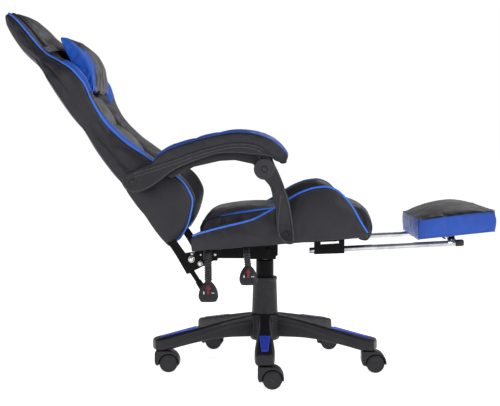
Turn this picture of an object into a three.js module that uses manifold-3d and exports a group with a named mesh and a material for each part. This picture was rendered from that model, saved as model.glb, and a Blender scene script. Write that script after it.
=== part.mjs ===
// Reclining gaming chair with a bucket seat, a bucket back, linked armrests and a pull-out footrest.
// Millimetres, +Z up. The swivel axis is the Z axis and the floor is Z = 0. The sitter faces -Y,
// so the sitter's right hand is on -X. Stored pose: back leaning, footrest pulled out.
import * as THREE from 'three';
import { mergeVertices } from 'three/addons/utils/BufferGeometryUtils.js';
import Module from 'manifold-3d';

const wasm = await Module();
wasm.setup();

// ---------------------------------------------------------------- driving dimensions
const GAP = 0.3; // between pieces that touch
const LEGS = 5;
const STEM_RADIUS = 301; // swivel axis to caster stem
const LEG_END_RADIUS = 323;
const HUB_R = 42;
const HUB_TOP = 150;
const HUB_BOTTOM = 74;
const COLUMN_R = 25;
const COLUMN_TOP = 304;
const COLUMN_COVER_TOP = 254;
const PISTON_R = 14;
const PISTON_TOP = 325;
const WHEEL_R = 25.3;
const WHEEL_TRAIL = 19.6; // stem axis to axle axis
const CASTER_HALF_WIDTH = 25;
const STEM_R = 5.3;
const WEB_BOTTOM = 14; // lowest point of the web between a caster's wheels
const HOOD_ROOF = 34; // above the axle

const TILT_AXIS = [10, 335]; // [forward, up]
const FLANGE_X = 84; // inner face of the mechanism plate's side flanges
const FLANGE_T = 4;
const FLANGE_BOTTOM = 315;
const LIFT_ROD = [-50, 352];
const TILT_ROD = [-150, 342.5];

const SEAT_REAR = [-197, 352]; // [forward, up] of the side panel's lower rear corner
const SEAT_ANGLE = THREE.MathUtils.degToRad(4.76);
const SEAT_HALF_WIDTH = 250;
const SEAT_CENTRE_HALF = 168;
const PAN_T = 6;

const BACK_REAR = [-268, 372]; // [forward, up] of the back's lower rear corner
const BACK_ANGLE = THREE.MathUtils.degToRad(54.33); // above horizontal in the stored pose
const RECLINE_AXIS = [-195, 327];
const RELEASE_AXIS = [-201, 303];
const PLATE_X = 218; // inner face of the upper recliner plates
const PLATE_T = 4;

const ARM_REAR = [-338, 535]; // armrest pivot on the back
const ARM_HUB = [-1, 570]; // front hub, the open pivot
const ARM_FOOT = [56, 399]; // support pivot on the seat
const ARM_IN = 262;
const ARM_OUT = 326;
const HUB_PIN_R = 8;
const HUB_PLAY = 4; // radial play of the pin in the armrest's eye

const RAIL_X = 165;
const RAIL_R = 7.8;
const RAIL_ANGLE = THREE.MathUtils.degToRad(3);
const RAIL_REAR = 120; // forward
const RAIL_FRONT = 526;
const RAIL_Z = 366.3; // up, at the cross bar
const CROSS_BAR = 520; // forward

// ---------------------------------------------------------------- helpers
const FINISH = {
  black_leather: [0x17181b, 0.42, 0],
  blue_leather: [0x24479f, 0.42, 0],
  black_plastic: [0x1c1d1f, 0.55, 0],
  blue_plastic: [0x2450b8, 0.35, 0],
  black_steel: [0x141416, 0.45, 0.4],
  zinc: [0xc4c6c8, 0.3, 0.9],
  chrome: [0xe4e6e8, 0.12, 1],
  strap: [0x101012, 0.9, 0],
};

const chair = new THREE.Group();
chair.name = 'gaming_chair';

function clean(geometry) {
  let g = geometry.clone();
  g.deleteAttribute('normal');
  g.deleteAttribute('uv');
  g = mergeVertices(g, 1e-3);
  const p = g.attributes.position;
  const kept = [];
  let volume = 0;
  const a = new THREE.Vector3();
  const b = new THREE.Vector3();
  const c = new THREE.Vector3();
  for (let i = 0; i < g.index.count; i += 3) {
    const t = [g.index.getX(i), g.index.getX(i + 1), g.index.getX(i + 2)];
    if (t[0] === t[1] || t[1] === t[2] || t[0] === t[2]) continue;
    a.fromBufferAttribute(p, t[0]);
    b.fromBufferAttribute(p, t[1]);
    c.fromBufferAttribute(p, t[2]);
    volume += a.dot(b.cross(c));
    kept.push(t);
  }
  const index = kept.flatMap((t) => (volume < 0 ? [t[0], t[2], t[1]] : t));
  g.setIndex(index);
  return g;
}

function toManifold(geometry) {
  const g = clean(geometry);
  return new wasm.Manifold(new wasm.Mesh({
    numProp: 3,
    vertProperties: new Float32Array(g.attributes.position.array),
    triVerts: new Uint32Array(g.index.array),
  }));
}

function fromManifold(body) {
  const mesh = body.getMesh();
  const g = new THREE.BufferGeometry();
  g.setAttribute('position', new THREE.BufferAttribute(new Float32Array(mesh.vertProperties), 3));
  g.setIndex(Array.from(mesh.triVerts));
  return g;
}

function join(...parts) {
  const bodies = parts.map(toManifold);
  return fromManifold(bodies.reduce((whole, body) => whole.add(body)));
}

function cut(from, ...tools) {
  return fromManifold(tools.map(toManifold).reduce((whole, body) => whole.subtract(body), toManifold(from)));
}

function add(name, geometry, finish) {
  const [color, roughness, metalness] = FINISH[finish];
  const g = clean(geometry).toNonIndexed();
  g.computeVertexNormals();
  const mesh = new THREE.Mesh(g, new THREE.MeshStandardMaterial({ color, roughness, metalness }));
  mesh.name = name;
  chair.add(mesh);
}

function mirrored(geometry) {
  return geometry.clone().scale(-1, 1, 1);
}

// The sitter's right side is drawn; the left side is its mirror image.
function addPair(name, geometry, finish) {
  add(`${name}_right`, geometry, finish);
  add(`${name}_left`, mirrored(geometry), finish);
}

// A side view (forward, up) carried across from x0 to x1.
function acrossX(shape, x0, x1, bevel = 0, steps = 8) {
  const g = new THREE.ExtrudeGeometry(shape, {
    depth: x1 - x0 - 2 * bevel,
    bevelEnabled: bevel > 0,
    bevelThickness: bevel,
    bevelSize: bevel,
    bevelOffset: -bevel,
    bevelSegments: 2,
    curveSegments: steps,
  });
  const basis = new THREE.Matrix4().makeBasis(
    new THREE.Vector3(0, -1, 0), new THREE.Vector3(0, 0, 1), new THREE.Vector3(-1, 0, 0));
  g.applyMatrix4(basis);
  g.translate(x1 - bevel, 0, 0);
  return g;
}

function polygon(points) {
  return new THREE.Shape(points.map((p) => new THREE.Vector2(p[0], p[1])));
}

function rodX(centre, radius, x0, x1, sides = 16) {
  const g = new THREE.CylinderGeometry(radius, radius, x1 - x0, sides);
  g.rotateZ(Math.PI / 2);
  g.translate((x0 + x1) / 2, -centre[0], centre[1]);
  return g;
}

function rodZ(x, y, radius, z0, z1, sides = 20) {
  const g = new THREE.CylinderGeometry(radius, radius, z1 - z0, sides);
  g.rotateX(Math.PI / 2);
  g.translate(x, y, (z0 + z1) / 2);
  return g;
}

// A rod between two points given as [x, forward, up].
function rod(from, to, radius, sides = 12) {
  const a = new THREE.Vector3(from[0], -from[1], from[2]);
  const b = new THREE.Vector3(to[0], -to[1], to[2]);
  const g = new THREE.CylinderGeometry(radius, radius, a.distanceTo(b), sides);
  const turn = new THREE.Quaternion().setFromUnitVectors(
    new THREE.Vector3(0, 1, 0), b.clone().sub(a).normalize());
  g.applyQuaternion(turn);
  g.translate((a.x + b.x) / 2, (a.y + b.y) / 2, (a.z + b.z) / 2);
  return g;
}

function box(x0, x1, f0, f1, z0, z1) {
  const g = new THREE.BoxGeometry(x1 - x0, f1 - f0, z1 - z0);
  g.translate((x0 + x1) / 2, -(f0 + f1) / 2, (z0 + z1) / 2);
  return g;
}

function turned(profile, sides) {
  const g = new THREE.LatheGeometry(profile.map((p) => new THREE.Vector2(p[0], p[1])), sides);
  g.rotateX(Math.PI / 2);
  return g;
}

// Skin over rings of points, with flat ends.
function loft(rings) {
  const n = rings[0].length;
  const position = rings.flat().flatMap((p) => [p.x, p.y, p.z]);
  const index = [];
  for (let r = 0; r + 1 < rings.length; r += 1) {
    for (let i = 0; i < n; i += 1) {
      const j = (i + 1) % n;
      const a = r * n;
      const b = (r + 1) * n;
      index.push(a + i, a + j, b + j, a + i, b + j, b + i);
    }
  }
  for (let i = 1; i + 1 < n; i += 1) {
    const last = (rings.length - 1) * n;
    index.push(0, i + 1, i, last, last + i, last + i + 1);
  }
  const g = new THREE.BufferGeometry();
  g.setAttribute('position', new THREE.Float32BufferAttribute(position, 3));
  g.setIndex(index);
  return g;
}

// Points on the seat: along it from the rear corner, and up from its lower edge.
function onSeat(x, along, up) {
  const f = SEAT_REAR[0] + along * Math.cos(SEAT_ANGLE) - up * Math.sin(SEAT_ANGLE);
  const z = SEAT_REAR[1] + along * Math.sin(SEAT_ANGLE) + up * Math.cos(SEAT_ANGLE);
  return new THREE.Vector3(x, -f, z);
}

// Points on the back: up along it from the rear corner, and out from its rear face.
function onBack(x, along, out) {
  const f = BACK_REAR[0] - along * Math.cos(BACK_ANGLE) + out * Math.sin(BACK_ANGLE);
  const z = BACK_REAR[1] + along * Math.sin(BACK_ANGLE) + out * Math.cos(BACK_ANGLE);
  return new THREE.Vector3(x, -f, z);
}

function sideOf(place, list) {
  return polygon(list.map((p) => {
    const v = place(0, p[0], p[1]);
    return [-v.y, v.z];
  }));
}

function panBottom(forward) {
  return SEAT_REAR[1] + (forward - SEAT_REAR[0]) * Math.tan(SEAT_ANGLE) - PAN_T;
}

// ---------------------------------------------------------------- star base
// radius, top, bottom, width
const LEG = [
  [22, 148, 84, 38],
  [60, 144, 85, 36],
  [105, 136, 86, 35],
  [150, 127, 84, 39],
  [205, 116, 77, 46],
  [255, 106, 68, 52],
  [285, 100, 62, 54],
  [305, 96, 60.5, 52],
  [318, 93, 61, 46],
  [LEG_END_RADIUS, 90, 63, 36],
];

function leg() {
  return loft(LEG.map(([r, top, bottom, width]) => {
    const w = width / 2;
    const h = top - bottom;
    const outline = [
      [-w * 0.86, bottom],
      [w * 0.86, bottom],
      [w, bottom + h * 0.25],
      [w * 0.97, bottom + h * 0.66],
      [w * 0.7, top],
      [-w * 0.7, top],
      [-w * 0.97, bottom + h * 0.66],
      [-w, bottom + h * 0.25],
    ];
    return outline.map(([t, z]) => new THREE.Vector3(-r, t, z));
  }));
}

function legTurn(i) {
  return (i * 2 * Math.PI) / LEGS;
}

const hub = turned([
  [0, HUB_BOTTOM],
  [HUB_R - 4, HUB_BOTTOM],
  [HUB_R, HUB_BOTTOM + 5],
  [HUB_R, HUB_TOP - 4],
  [HUB_R - 3, HUB_TOP],
  [0, HUB_TOP],
], 30);

const legs = Array.from({ length: LEGS }, (_, i) => leg().rotateZ(legTurn(i)));
const sockets = Array.from({ length: LEGS }, (_, i) => (
  rodZ(-STEM_RADIUS, 0, STEM_R + 0.4, 50, 88, 12).rotateZ(legTurn(i))
));
const columnBore = rodZ(0, 0, COLUMN_R + GAP, 60, 170, 24);
add('base_star', cut(join(hub, ...legs), columnBore, ...sockets), 'black_plastic');

// Tapered inlays on the outer half of each leg's flat top.
function legTop(r) {
  return 127 - 0.2 * (r - 150);
}

function inlay(i) {
  const ring = (r, half) => [
    new THREE.Vector3(-r, -half, legTop(r) + GAP),
    new THREE.Vector3(-r, half, legTop(r) + GAP),
    new THREE.Vector3(-r, half - 1, legTop(r) + GAP + 1.8),
    new THREE.Vector3(-r, -half + 1, legTop(r) + GAP + 1.8),
  ];
  return loft([ring(200, 15), ring(304, 9)]).rotateZ(legTurn(i));
}

// ---------------------------------------------------------------- casters
function casterHood() {
  const shape = new THREE.Shape();
  const steps = 9;
  const polar = (a, r) => [WHEEL_TRAIL + r * Math.cos(a), WHEEL_R + r * Math.sin(a)];
  const outer = [];
  const inner = [];
  for (let i = 0; i <= steps; i += 1) {
    const a = THREE.MathUtils.degToRad(-4 + (192 * i) / steps);
    const bulge = 30 + 4 * (1 - Math.cos(a)) + 8 * Math.max(0, -Math.sin(2 * a));
    outer.push(polar(a, Math.sin(a) > 0.5 ? Math.min(bulge, HOOD_ROOF / Math.sin(a)) : bulge));
    inner.unshift(polar(a, WHEEL_R + 2));
  }
  shape.setFromPoints([...outer, ...inner].map((p) => new THREE.Vector2(p[0], p[1])));
  const arch = acrossX(shape, -CASTER_HALF_WIDTH, CASTER_HALF_WIDTH);
  const web = rodX([WHEEL_TRAIL, WHEEL_R], WHEEL_R + 3, -5, 5, 14);
  const clearance = box(-6, 6, -20, 60, -10, WEB_BOTTOM);
  const stem = rodZ(0, 0, STEM_R, 45, 87, 12);
  const axleBore = rodX([WHEEL_TRAIL, WHEEL_R], 4.4, -8, 8, 12);
  return cut(join(arch, web, stem), axleBore, clearance);
}

function casterWheels() {
  const side = [
    [4, 6.5],
    [21, 6.5],
    [WHEEL_R, 8.5],
    [WHEEL_R, 22],
    [20.5, 24.5],
    [0, 22.5],
  ];
  const profile = [...side.map(([r, x]) => [r, -x]).reverse(), ...side];
  const g = turned(profile, 18);
  g.rotateY(Math.PI / 2);
  g.translate(0, -WHEEL_TRAIL, WHEEL_R);
  return g;
}

for (let i = 0; i < LEGS; i += 1) {
  const x = -STEM_RADIUS * Math.cos(legTurn(i));
  const y = -STEM_RADIUS * Math.sin(legTurn(i));
  add(`leg_inlay_${i + 1}`, inlay(i), 'blue_plastic');
  add(`caster_hood_${i + 1}`, casterHood().translate(x, y, 0), 'black_plastic');
  add(`caster_wheels_${i + 1}`, casterWheels().translate(x, y, 0), 'black_plastic');
}

// ---------------------------------------------------------------- gas column
add('gas_column', cut(rodZ(0, 0, COLUMN_R, 66, COLUMN_TOP, 24),
  rodZ(0, 0, PISTON_R + GAP, 160, COLUMN_TOP + 10, 20)), 'black_steel');
add('column_cover', turned([
  [COLUMN_R + GAP, HUB_TOP + GAP],
  [36.5, HUB_TOP + GAP],
  [33.4, COLUMN_COVER_TOP - 8],
  [34.2, COLUMN_COVER_TOP - 7],
  [34.2, COLUMN_COVER_TOP - 1],
  [32.5, COLUMN_COVER_TOP],
  [COLUMN_R + GAP, COLUMN_COVER_TOP],
  [COLUMN_R + GAP, HUB_TOP + GAP],
], 28), 'black_plastic');
add('gas_piston', rodZ(0, 0, PISTON_R, 180, PISTON_TOP, 20), 'chrome');

// ---------------------------------------------------------------- tilt mechanism
const housing = acrossX(polygon([
  [-54, 309],
  [31, 309],
  [31, 345],
  [22, 350],
  [-8, 350],
  [-54, 336],
]), -58, 58, 2);
add('tilt_housing', cut(housing, rodZ(0, 0, PISTON_R + GAP, 300, PISTON_TOP + GAP, 20),
  rodX(TILT_AXIS, 6.4, -70, 70, 12)), 'black_steel');

const flange = polygon([
  [-190, panBottom(-190) - GAP],
  [-190, 330],
  [-172, FLANGE_BOTTOM],
  [24, FLANGE_BOTTOM],
  [36, 324],
  [36, panBottom(36) - GAP],
]);
const flanges = [-1, 1].map((s) => {
  const inner = s * FLANGE_X;
  const outer = s * (FLANGE_X + FLANGE_T);
  return acrossX(flange, Math.min(inner, outer), Math.max(inner, outer));
});
const sheet = acrossX(polygon([
  [-190, panBottom(-190) - GAP],
  [-190, panBottom(-190) - GAP - 3.5],
  [36, panBottom(36) - GAP - 3.5],
  [36, panBottom(36) - GAP],
]), -100, 100);
const rearBlock = box(-FLANGE_X - 1, FLANGE_X + 1, -170, -132, 308, 346);
add('mechanism_plate', cut(join(sheet, rearBlock, ...flanges),
  rodX(TILT_AXIS, 6.4, -110, 110, 12),
  rodX(LIFT_ROD, 4.4, -110, -70, 12),
  rodX(TILT_ROD, 4.9, -110, -70, 12)), 'black_steel');
add('tilt_pin', join(rodX(TILT_AXIS, 6, -93, 93, 12), rodX(TILT_AXIS, 10, -96, -88 - GAP, 6),
  rodX(TILT_AXIS, 10, 88 + GAP, 96, 6)), 'black_steel');

// ---------------------------------------------------------------- hand levers
// Ribbed neck and flat paddle hanging from a cross rod.
function lever(axis, rodR, neckTop, neckEnd, paddleEnd, paddleHalf, ribs) {
  const bend = [neckTop[0] + 4, axis[0], axis[1]];
  const parts = [
    rod([-FLANGE_X - 0.5, axis[0], axis[1]], [neckTop[0] - 1, axis[0], axis[1]], rodR, 10),
    rod(bend, neckTop, rodR + 1.5, 8),
    rod(neckTop, neckEnd, 6.8, 8),
  ];
  const a = new THREE.Vector3(...neckTop);
  const b = new THREE.Vector3(...neckEnd);
  for (let i = 0; i < ribs; i += 1) {
    const p = a.clone().lerp(b, (i + 0.1) / ribs).toArray();
    const q = a.clone().lerp(b, (i + 0.7) / ribs).toArray();
    parts.push(rod(p, q, 8.4, 8));
  }
  const from = new THREE.Vector3(neckEnd[0], -neckEnd[1], neckEnd[2]);
  const to = new THREE.Vector3(paddleEnd[0], -paddleEnd[1], paddleEnd[2]);
  const length = from.distanceTo(to);
  const w = paddleHalf;
  const shape = new THREE.Shape();
  shape.moveTo(-7.5, -4);
  shape.lineTo(7.5, -4);
  shape.quadraticCurveTo(10, 6, w * 0.75, length * 0.3);
  shape.quadraticCurveTo(w, length * 0.5, w, length * 0.75);
  shape.quadraticCurveTo(w, length, w * 0.6, length);
  shape.lineTo(-w * 0.6, length);
  shape.quadraticCurveTo(-w, length, -w, length * 0.75);
  shape.quadraticCurveTo(-w, length * 0.5, -w * 0.75, length * 0.3);
  shape.quadraticCurveTo(-10, 6, -7.5, -4);
  const g = new THREE.ExtrudeGeometry(shape, {
    depth: 6, bevelThickness: 3, bevelSize: 2.5, bevelOffset: -2.5, bevelSegments: 1, curveSegments: 3,
  });
  g.translate(0, 0, -3);
  const down = to.clone().sub(from).normalize();
  const sideways = new THREE.Vector3(0, -1, 0);
  sideways.addScaledVector(down, -sideways.dot(down)).normalize();
  const out = new THREE.Vector3().crossVectors(sideways, down);
  g.applyMatrix4(new THREE.Matrix4().makeBasis(sideways, down, out));
  g.translate(from.x, from.y, from.z);
  parts.push(g);
  return join(...parts);
}

const tiltLever = lever(TILT_ROD, 4.5, [-237, -150, 326], [-246, -149, 274], [-262, -148, 219], 26, 6);
const liftLever = lever(LIFT_ROD, 4, [-198, -49, 340], [-211, -45, 311], [-232, -43, 260], 24, 3);
add('tilt_lever', tiltLever, 'black_plastic');
add('lift_lever', liftLever, 'black_plastic');
add('lever_bearing', cut(acrossX(polygon([
  [-163, 351],
  [-163, 326],
  [-140, 326],
  [-140, 351],
]), -227, -216 - GAP), rodX(TILT_ROD, 4.9, -240, -210, 12)), 'black_plastic');

// ---------------------------------------------------------------- seat
const pan = acrossX(sideOf(onSeat, [[8, -PAN_T], [446, -PAN_T], [446, 0], [8, 0]]), -209, 209);
add('seat_pan', pan, 'black_steel');

const centre = new THREE.Shape();
const seatPoint = (along, up) => {
  const v = onSeat(0, along, up);
  return [-v.y, v.z];
};
centre.moveTo(...seatPoint(30, GAP));
centre.lineTo(...seatPoint(448, GAP));
centre.lineTo(...seatPoint(449, -17));
centre.quadraticCurveTo(...seatPoint(468, -21), ...seatPoint(481, -14));
centre.quadraticCurveTo(...seatPoint(490, 12), ...seatPoint(484, 36));
centre.quadraticCurveTo(...seatPoint(474, 76), ...seatPoint(434, 82));
centre.quadraticCurveTo(...seatPoint(220, 92), ...seatPoint(60, 76));
centre.quadraticCurveTo(...seatPoint(26, 70), ...seatPoint(26, 40));
add('seat_cushion', acrossX(centre, -SEAT_CENTRE_HALF, SEAT_CENTRE_HALF, 6, 6), 'black_leather');

// along, top of the wing
const SEAT_WING = [
  [4, 36],
  [10, 44],
  [95, 58],
  [165, 69],
  [235, 98],
  [300, 129],
  [340, 139],
  [364, 140],
  [392, 131],
  [428, 92],
  [452, 44],
  [468, 12],
];

const seatWing = loft(SEAT_WING.map(([along, top]) => {
  const inner = -SEAT_CENTRE_HALF - 0.5;
  const outer = -SEAT_HALF_WIDTH;
  const foot = GAP;
  const shoulder = Math.min(top - 3, 80);
  return [
    onSeat(inner, along, foot),
    onSeat(outer + 3, along, foot),
    onSeat(outer, along, foot + (top - foot) * 0.5),
    onSeat(outer + 3, along, top - 5),
    onSeat(outer + 10, along, top),
    onSeat(outer + 36, along, Math.max(top - 6, shoulder)),
    onSeat(inner - 20, along, shoulder + (top - shoulder) * 0.25),
    onSeat(inner, along, shoulder - 2),
  ];
}));
addPair('seat_wing', seatWing, 'black_leather');

// ---------------------------------------------------------------- recliners
const lowerPlate = acrossX(polygon([
  [-207, 335],
  [-203, 296],
  [-186, 297],
  [-160, 310],
  [-118, 333],
  [-118, panBottom(-118) - GAP],
  [-180, panBottom(-180) - GAP],
]), -216, -212);
const lowerStudded = join(lowerPlate,
  rodX([-171, 316], 7.5, -223, -212.5, 6),
  rodX([-133, 340], 4, -219, -212.5, 8),
  rodX([-170, 339], 4, -219, -212.5, 8));
const lowerDrilled = cut(lowerStudded, rodX(RECLINE_AXIS, 6.4, -220, -208, 12));
add('recliner_lower_right', cut(lowerDrilled,
  rodX(RELEASE_AXIS, 4.4, -220, -208, 12),
  rodX(TILT_ROD, 5.2, -220, -208, 12)), 'black_steel');
add('recliner_lower_left', mirrored(lowerDrilled), 'black_steel');

const UPPER_PLATE = [
  [58, 10], [-45, 6], [-104, 0], [-109, 14], [-100, 36], [-84, 54], [-66, 50], [-56, 30], [58, 30],
];
const upperPlate = cut(acrossX(sideOf(onBack, UPPER_PLATE), -PLATE_X - PLATE_T, -PLATE_X),
  rodX(RECLINE_AXIS, 6.4, -230, -210, 12));
addPair('recliner_upper', upperPlate, 'black_steel');
addPair('recline_bolt', join(rodX(RECLINE_AXIS, 6, -226, -209, 12),
  rodX(RECLINE_AXIS, 8.5, -229, -PLATE_X - PLATE_T - GAP, 6)), 'zinc');

const gripDirection = [0.54, -0.84];
const gripPoint = (along, off) => [
  RELEASE_AXIS[0] + gripDirection[0] * along - gripDirection[1] * off,
  RELEASE_AXIS[1] + gripDirection[1] * along + gripDirection[0] * off,
];
const bar = acrossX(polygon([
  gripPoint(-9, -7), gripPoint(46, -6), gripPoint(46, 6), gripPoint(-9, 7),
]), -210, -205);
const grip = acrossX(polygon([
  gripPoint(42, -8), gripPoint(72, -9), gripPoint(76, 0), gripPoint(72, 9), gripPoint(42, 8),
]), -212, -203, 2);
add('recline_lever', join(bar, grip, rodX(RELEASE_AXIS, 4, -216, -206, 12)), 'black_steel');

// ---------------------------------------------------------------- back
// along, half width, shell front, wing front, panel front, panel half width, rear face
const BACK = [
  [-16, 214, 28, 40, 36, 116, 0],
  [-4, 228, 36, 69, 48, 120, 0],
  [14, 235, 42, 95, 58, 124, 0],
  [55, 239, 44, 132, 66, 127, 0],
  [92, 240, 44, 138, 72, 129, 0],
  [195, 237, 44, 104, 72, 132, 0],
  [293, 228, 44, 71, 66, 134, 0],
  [356, 225, 44, 62, 60, 134, 0],
  [417, 240, 44, 70, 57, 132, 0],
  [461, 251, 44, 79, 55, 128, 1],
  [502, 249, 42, 75, 55, 122, 2],
  [542, 232, 38, 61, 57, 117, 2],
  [590, 199, 30, 39, 59, 112, 0],
  [621, 181, 26, 32, 52, 110, -6],
  [640, 176, 24, 30, 47, 109, -11],
  [676, 169, 21, 27, 43, 106, -12],
  [718, 160, 17, 22, 36, 98, -10],
  [745, 142, 9, 13, 24, 84, -4],
];

const shell = loft(BACK.map(([along, half, front, , , , rear]) => [
  onBack(-half + 14, along, rear + 2),
  onBack(half - 14, along, rear + 2),
  onBack(half - 3, along, rear + 8),
  onBack(half, along, front * 0.6),
  onBack(half - 2, along, front),
  onBack(-half + 2, along, front),
  onBack(-half, along, front * 0.6),
  onBack(-half + 3, along, rear + 8),
]));
const slotSide = sideOf(onBack, [[60, 10], [-30, 4], [-30, 60], [60, 60]]);
const plateSlots = [-1, 1].map((s) => {
  const inner = s * (PLATE_X - GAP);
  const outer = s * (PLATE_X + PLATE_T + GAP);
  return acrossX(slotSide, Math.min(inner, outer), Math.max(inner, outer));
});
add('backrest_shell', cut(shell, ...plateSlots), 'black_leather');

const panel = loft(BACK.map(([along, , front, , out, half]) => [
  onBack(-half, along, front + GAP),
  onBack(half, along, front + GAP),
  onBack(half, along, out - 4),
  onBack(half - 12, along, out),
  onBack(-half + 12, along, out),
  onBack(-half, along, out - 4),
]));
add('backrest_panel', panel, 'black_leather');

const backWing = loft(BACK.map(([along, half, front, wing, out, inner]) => {
  const foot = front + GAP;
  const low = out - 2;
  const seam = -inner - 0.5;
  return [
    onBack(seam, along, foot),
    onBack(-half + 2, along, foot),
    onBack(-half, along, foot + (wing - foot) * 0.6),
    onBack(-half + 4, along, wing - 3),
    onBack(-half + 14, along, wing),
    onBack((-half + seam) / 2, along, low + (wing - low) * 0.6),
    onBack(seam, along, low),
  ];
}));
addPair('backrest_wing', backWing, 'black_leather');

// Head pillow across the upper panel, and the elastic strap behind it from wing to wing.
const pillow = new THREE.Shape();
const backPoint = (along, out) => {
  const v = onBack(0, along, out);
  return [-v.y, v.z];
};
pillow.moveTo(...backPoint(446, 60));
pillow.quadraticCurveTo(...backPoint(432, 72), ...backPoint(450, 88));
pillow.quadraticCurveTo(...backPoint(510, 116), ...backPoint(584, 104));
pillow.quadraticCurveTo(...backPoint(622, 96), ...backPoint(613, 70.5));
pillow.lineTo(...backPoint(560, 65));
add('head_pillow', acrossX(pillow, -150, 150, 8, 6), 'blue_leather');

const backAt = (along) => {
  const next = BACK.findIndex((row) => row[0] >= along);
  const [a, b] = [BACK[next - 1], BACK[next]];
  return a.map((value, i) => THREE.MathUtils.mapLinear(along, a[0], b[0], value, b[i]));
};
const bandRing = (lift, [along, half, , wing, out, inner, rear]) => [
  onBack(-half - lift, along, rear - lift),
  onBack(half + lift, along, rear - lift),
  onBack(half + lift, along, wing + lift),
  onBack(inner + 3, along, out + lift),
  onBack(-inner - 3, along, out + lift),
  onBack(-half - lift, along, wing + lift),
];
const band = (lift, low, high) => loft([bandRing(lift, backAt(low)), bandRing(lift, backAt(high))]);
const behindStrap = loft([580, 620].map((along) => [
  onBack(-260, along, -40),
  onBack(260, along, -40),
  onBack(260, along, 43),
  onBack(-260, along, 43),
]));
add('pillow_strap', cut(band(3.5, 588, 609), band(2, 587, 610), behindStrap), 'strap');

// ---------------------------------------------------------------- armrests
const vectors = (list) => list.map((p) => new THREE.Vector2(p[0], p[1]));
const armPad = new THREE.Shape();
armPad.moveTo(-362, 552);
armPad.splineThru(vectors([
  [-298, 573], [-233, 594], [-168, 617], [-103, 633], [-64, 637], [-25, 632], [0, 619], [27, 598], [43, 584],
]));
armPad.quadraticCurveTo(58, 584, 62, 610);
armPad.splineThru(vectors([
  [39, 636], [13, 654], [-25, 666], [-64, 670], [-103, 666],
  [-168, 652], [-233, 632], [-272, 615], [-320, 589], [-352, 566],
]));
addPair('arm_pad', acrossX(armPad, -ARM_OUT, -ARM_IN, 5, 1), 'black_leather');

const armShell = polygon([
  [-363, 550.5], [-298, 571.5], [-233, 592.5], [-168, 615.5], [-103, 631.5], [-64, 635.5],
  [-25, 630.5], [0, 617.5], [27, 596.5], [36, 588.5], [27, 592], [12, 602], [-14, 605],
  [-38, 607], [-64, 610], [-116, 609], [-155, 598],
  [-194, 584], [-233, 566], [-272, 537], [-298, 520], [-324, 511], [-350, 514], [-365, 532],
]);
const armShellBody = acrossX(armShell, -ARM_OUT + 2, -ARM_IN - 2, 0, 1);
addPair('arm_shell', cut(armShellBody, rodX(ARM_REAR, 8 + GAP, -300, -250, 16)), 'black_plastic');
const pivotPin = rodX(ARM_REAR, 8, -298, -243, 16);
const pivotBoss = rodX(ARM_REAR, 16, -261, -241, 16);
addPair('arm_pivot', join(pivotPin, pivotBoss), 'black_steel');

const armBarBody = acrossX(polygon([
  [-253, 550.5], [-233, 565], [-194, 583.2], [-155, 597.2], [-116, 608.2], [-64, 609.2],
  [-38, 606.2], [-24, 600],
  [-12, 588], [-18, 556], [-30, 582], [-77, 592], [-116, 590], [-194, 572], [-240, 546],
]), -298, -266);
const eye = rodX(ARM_HUB, 22, -298, -266, 20);
const eyeBore = rodX(ARM_HUB, HUB_PIN_R + HUB_PLAY, -310, -250, 16);
addPair('arm_bar', cut(join(armBarBody, eye), eyeBore), 'black_plastic');

const supportShape = new THREE.Shape();
supportShape.moveTo(21, 587);
supportShape.splineThru(vectors([[32, 561], [50, 522], [63, 488], [72, 440], [76, 392]]));
supportShape.quadraticCurveTo(77, 374, 58, 374);
supportShape.quadraticCurveTo(38, 376, 32, 404);
supportShape.splineThru(vectors([[29, 430], [27, 467], [20, 496], [14, 522], [-6, 548]]));
const supportBody = acrossX(supportShape, -1, 0, 0, 3);
const slant = (z, top, bottom) => (
  THREE.MathUtils.mapLinear(THREE.MathUtils.clamp(z, 425, 525), 425, 525, bottom, top)
);
const place = supportBody.attributes.position;
for (let i = 0; i < place.count; i += 1) {
  const outer = place.getX(i) < -0.5;
  const z = place.getZ(i);
  place.setX(i, outer ? -slant(z, 324, 284) : -slant(z, 301, 259));
}
const hubCap = rodX(ARM_HUB, 27.5, -ARM_OUT, -301, 18);
const hubPin = rodX(ARM_HUB, HUB_PIN_R, -302, -264, 16);
const footBolt = join(rodX(ARM_FOOT, 9, -288, -270, 6), rodX(ARM_FOOT, 6, -275, -252, 12));
addPair('arm_support', join(supportBody, hubCap, hubPin, footBolt), 'black_plastic');

// ---------------------------------------------------------------- footrest
const railZ = (forward) => RAIL_Z + (forward - CROSS_BAR) * Math.tan(RAIL_ANGLE);
const railAt = (x, forward) => [x, forward, railZ(forward)];
add('footrest_frame', join(
  rod(railAt(-RAIL_X, RAIL_REAR), railAt(-RAIL_X, RAIL_FRONT), RAIL_R, 14),
  rod(railAt(RAIL_X, RAIL_REAR), railAt(RAIL_X, RAIL_FRONT), RAIL_R, 14),
  rodX([CROSS_BAR, RAIL_Z], 6, -RAIL_X, RAIL_X, 12),
), 'chrome');
const railCap = rod(railAt(-RAIL_X, RAIL_FRONT + GAP), railAt(-RAIL_X, RAIL_FRONT + 9), 9, 14);
addPair('rail_cap', railCap, 'black_plastic');

const guideShape = polygon([
  [109, panBottom(109) - GAP],
  [109, panBottom(109) - GAP - 3.5],
  [133, panBottom(133) - GAP - 3.5],
  [133, 336],
  [214, 339],
  [214, panBottom(214) - GAP - 3.5],
  [230, panBottom(230) - GAP - 3.5],
  [230, panBottom(230) - GAP],
]);
guideShape.holes.push(polygon([[150, 361], [200, 364], [200, 372], [150, 369]]));
addPair('footrest_guide', cut(acrossX(guideShape, -RAIL_X - 12, -RAIL_X + 12),
  rod(railAt(-RAIL_X, 60), railAt(-RAIL_X, 280), RAIL_R + 0.5, 14)), 'black_steel');

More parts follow.
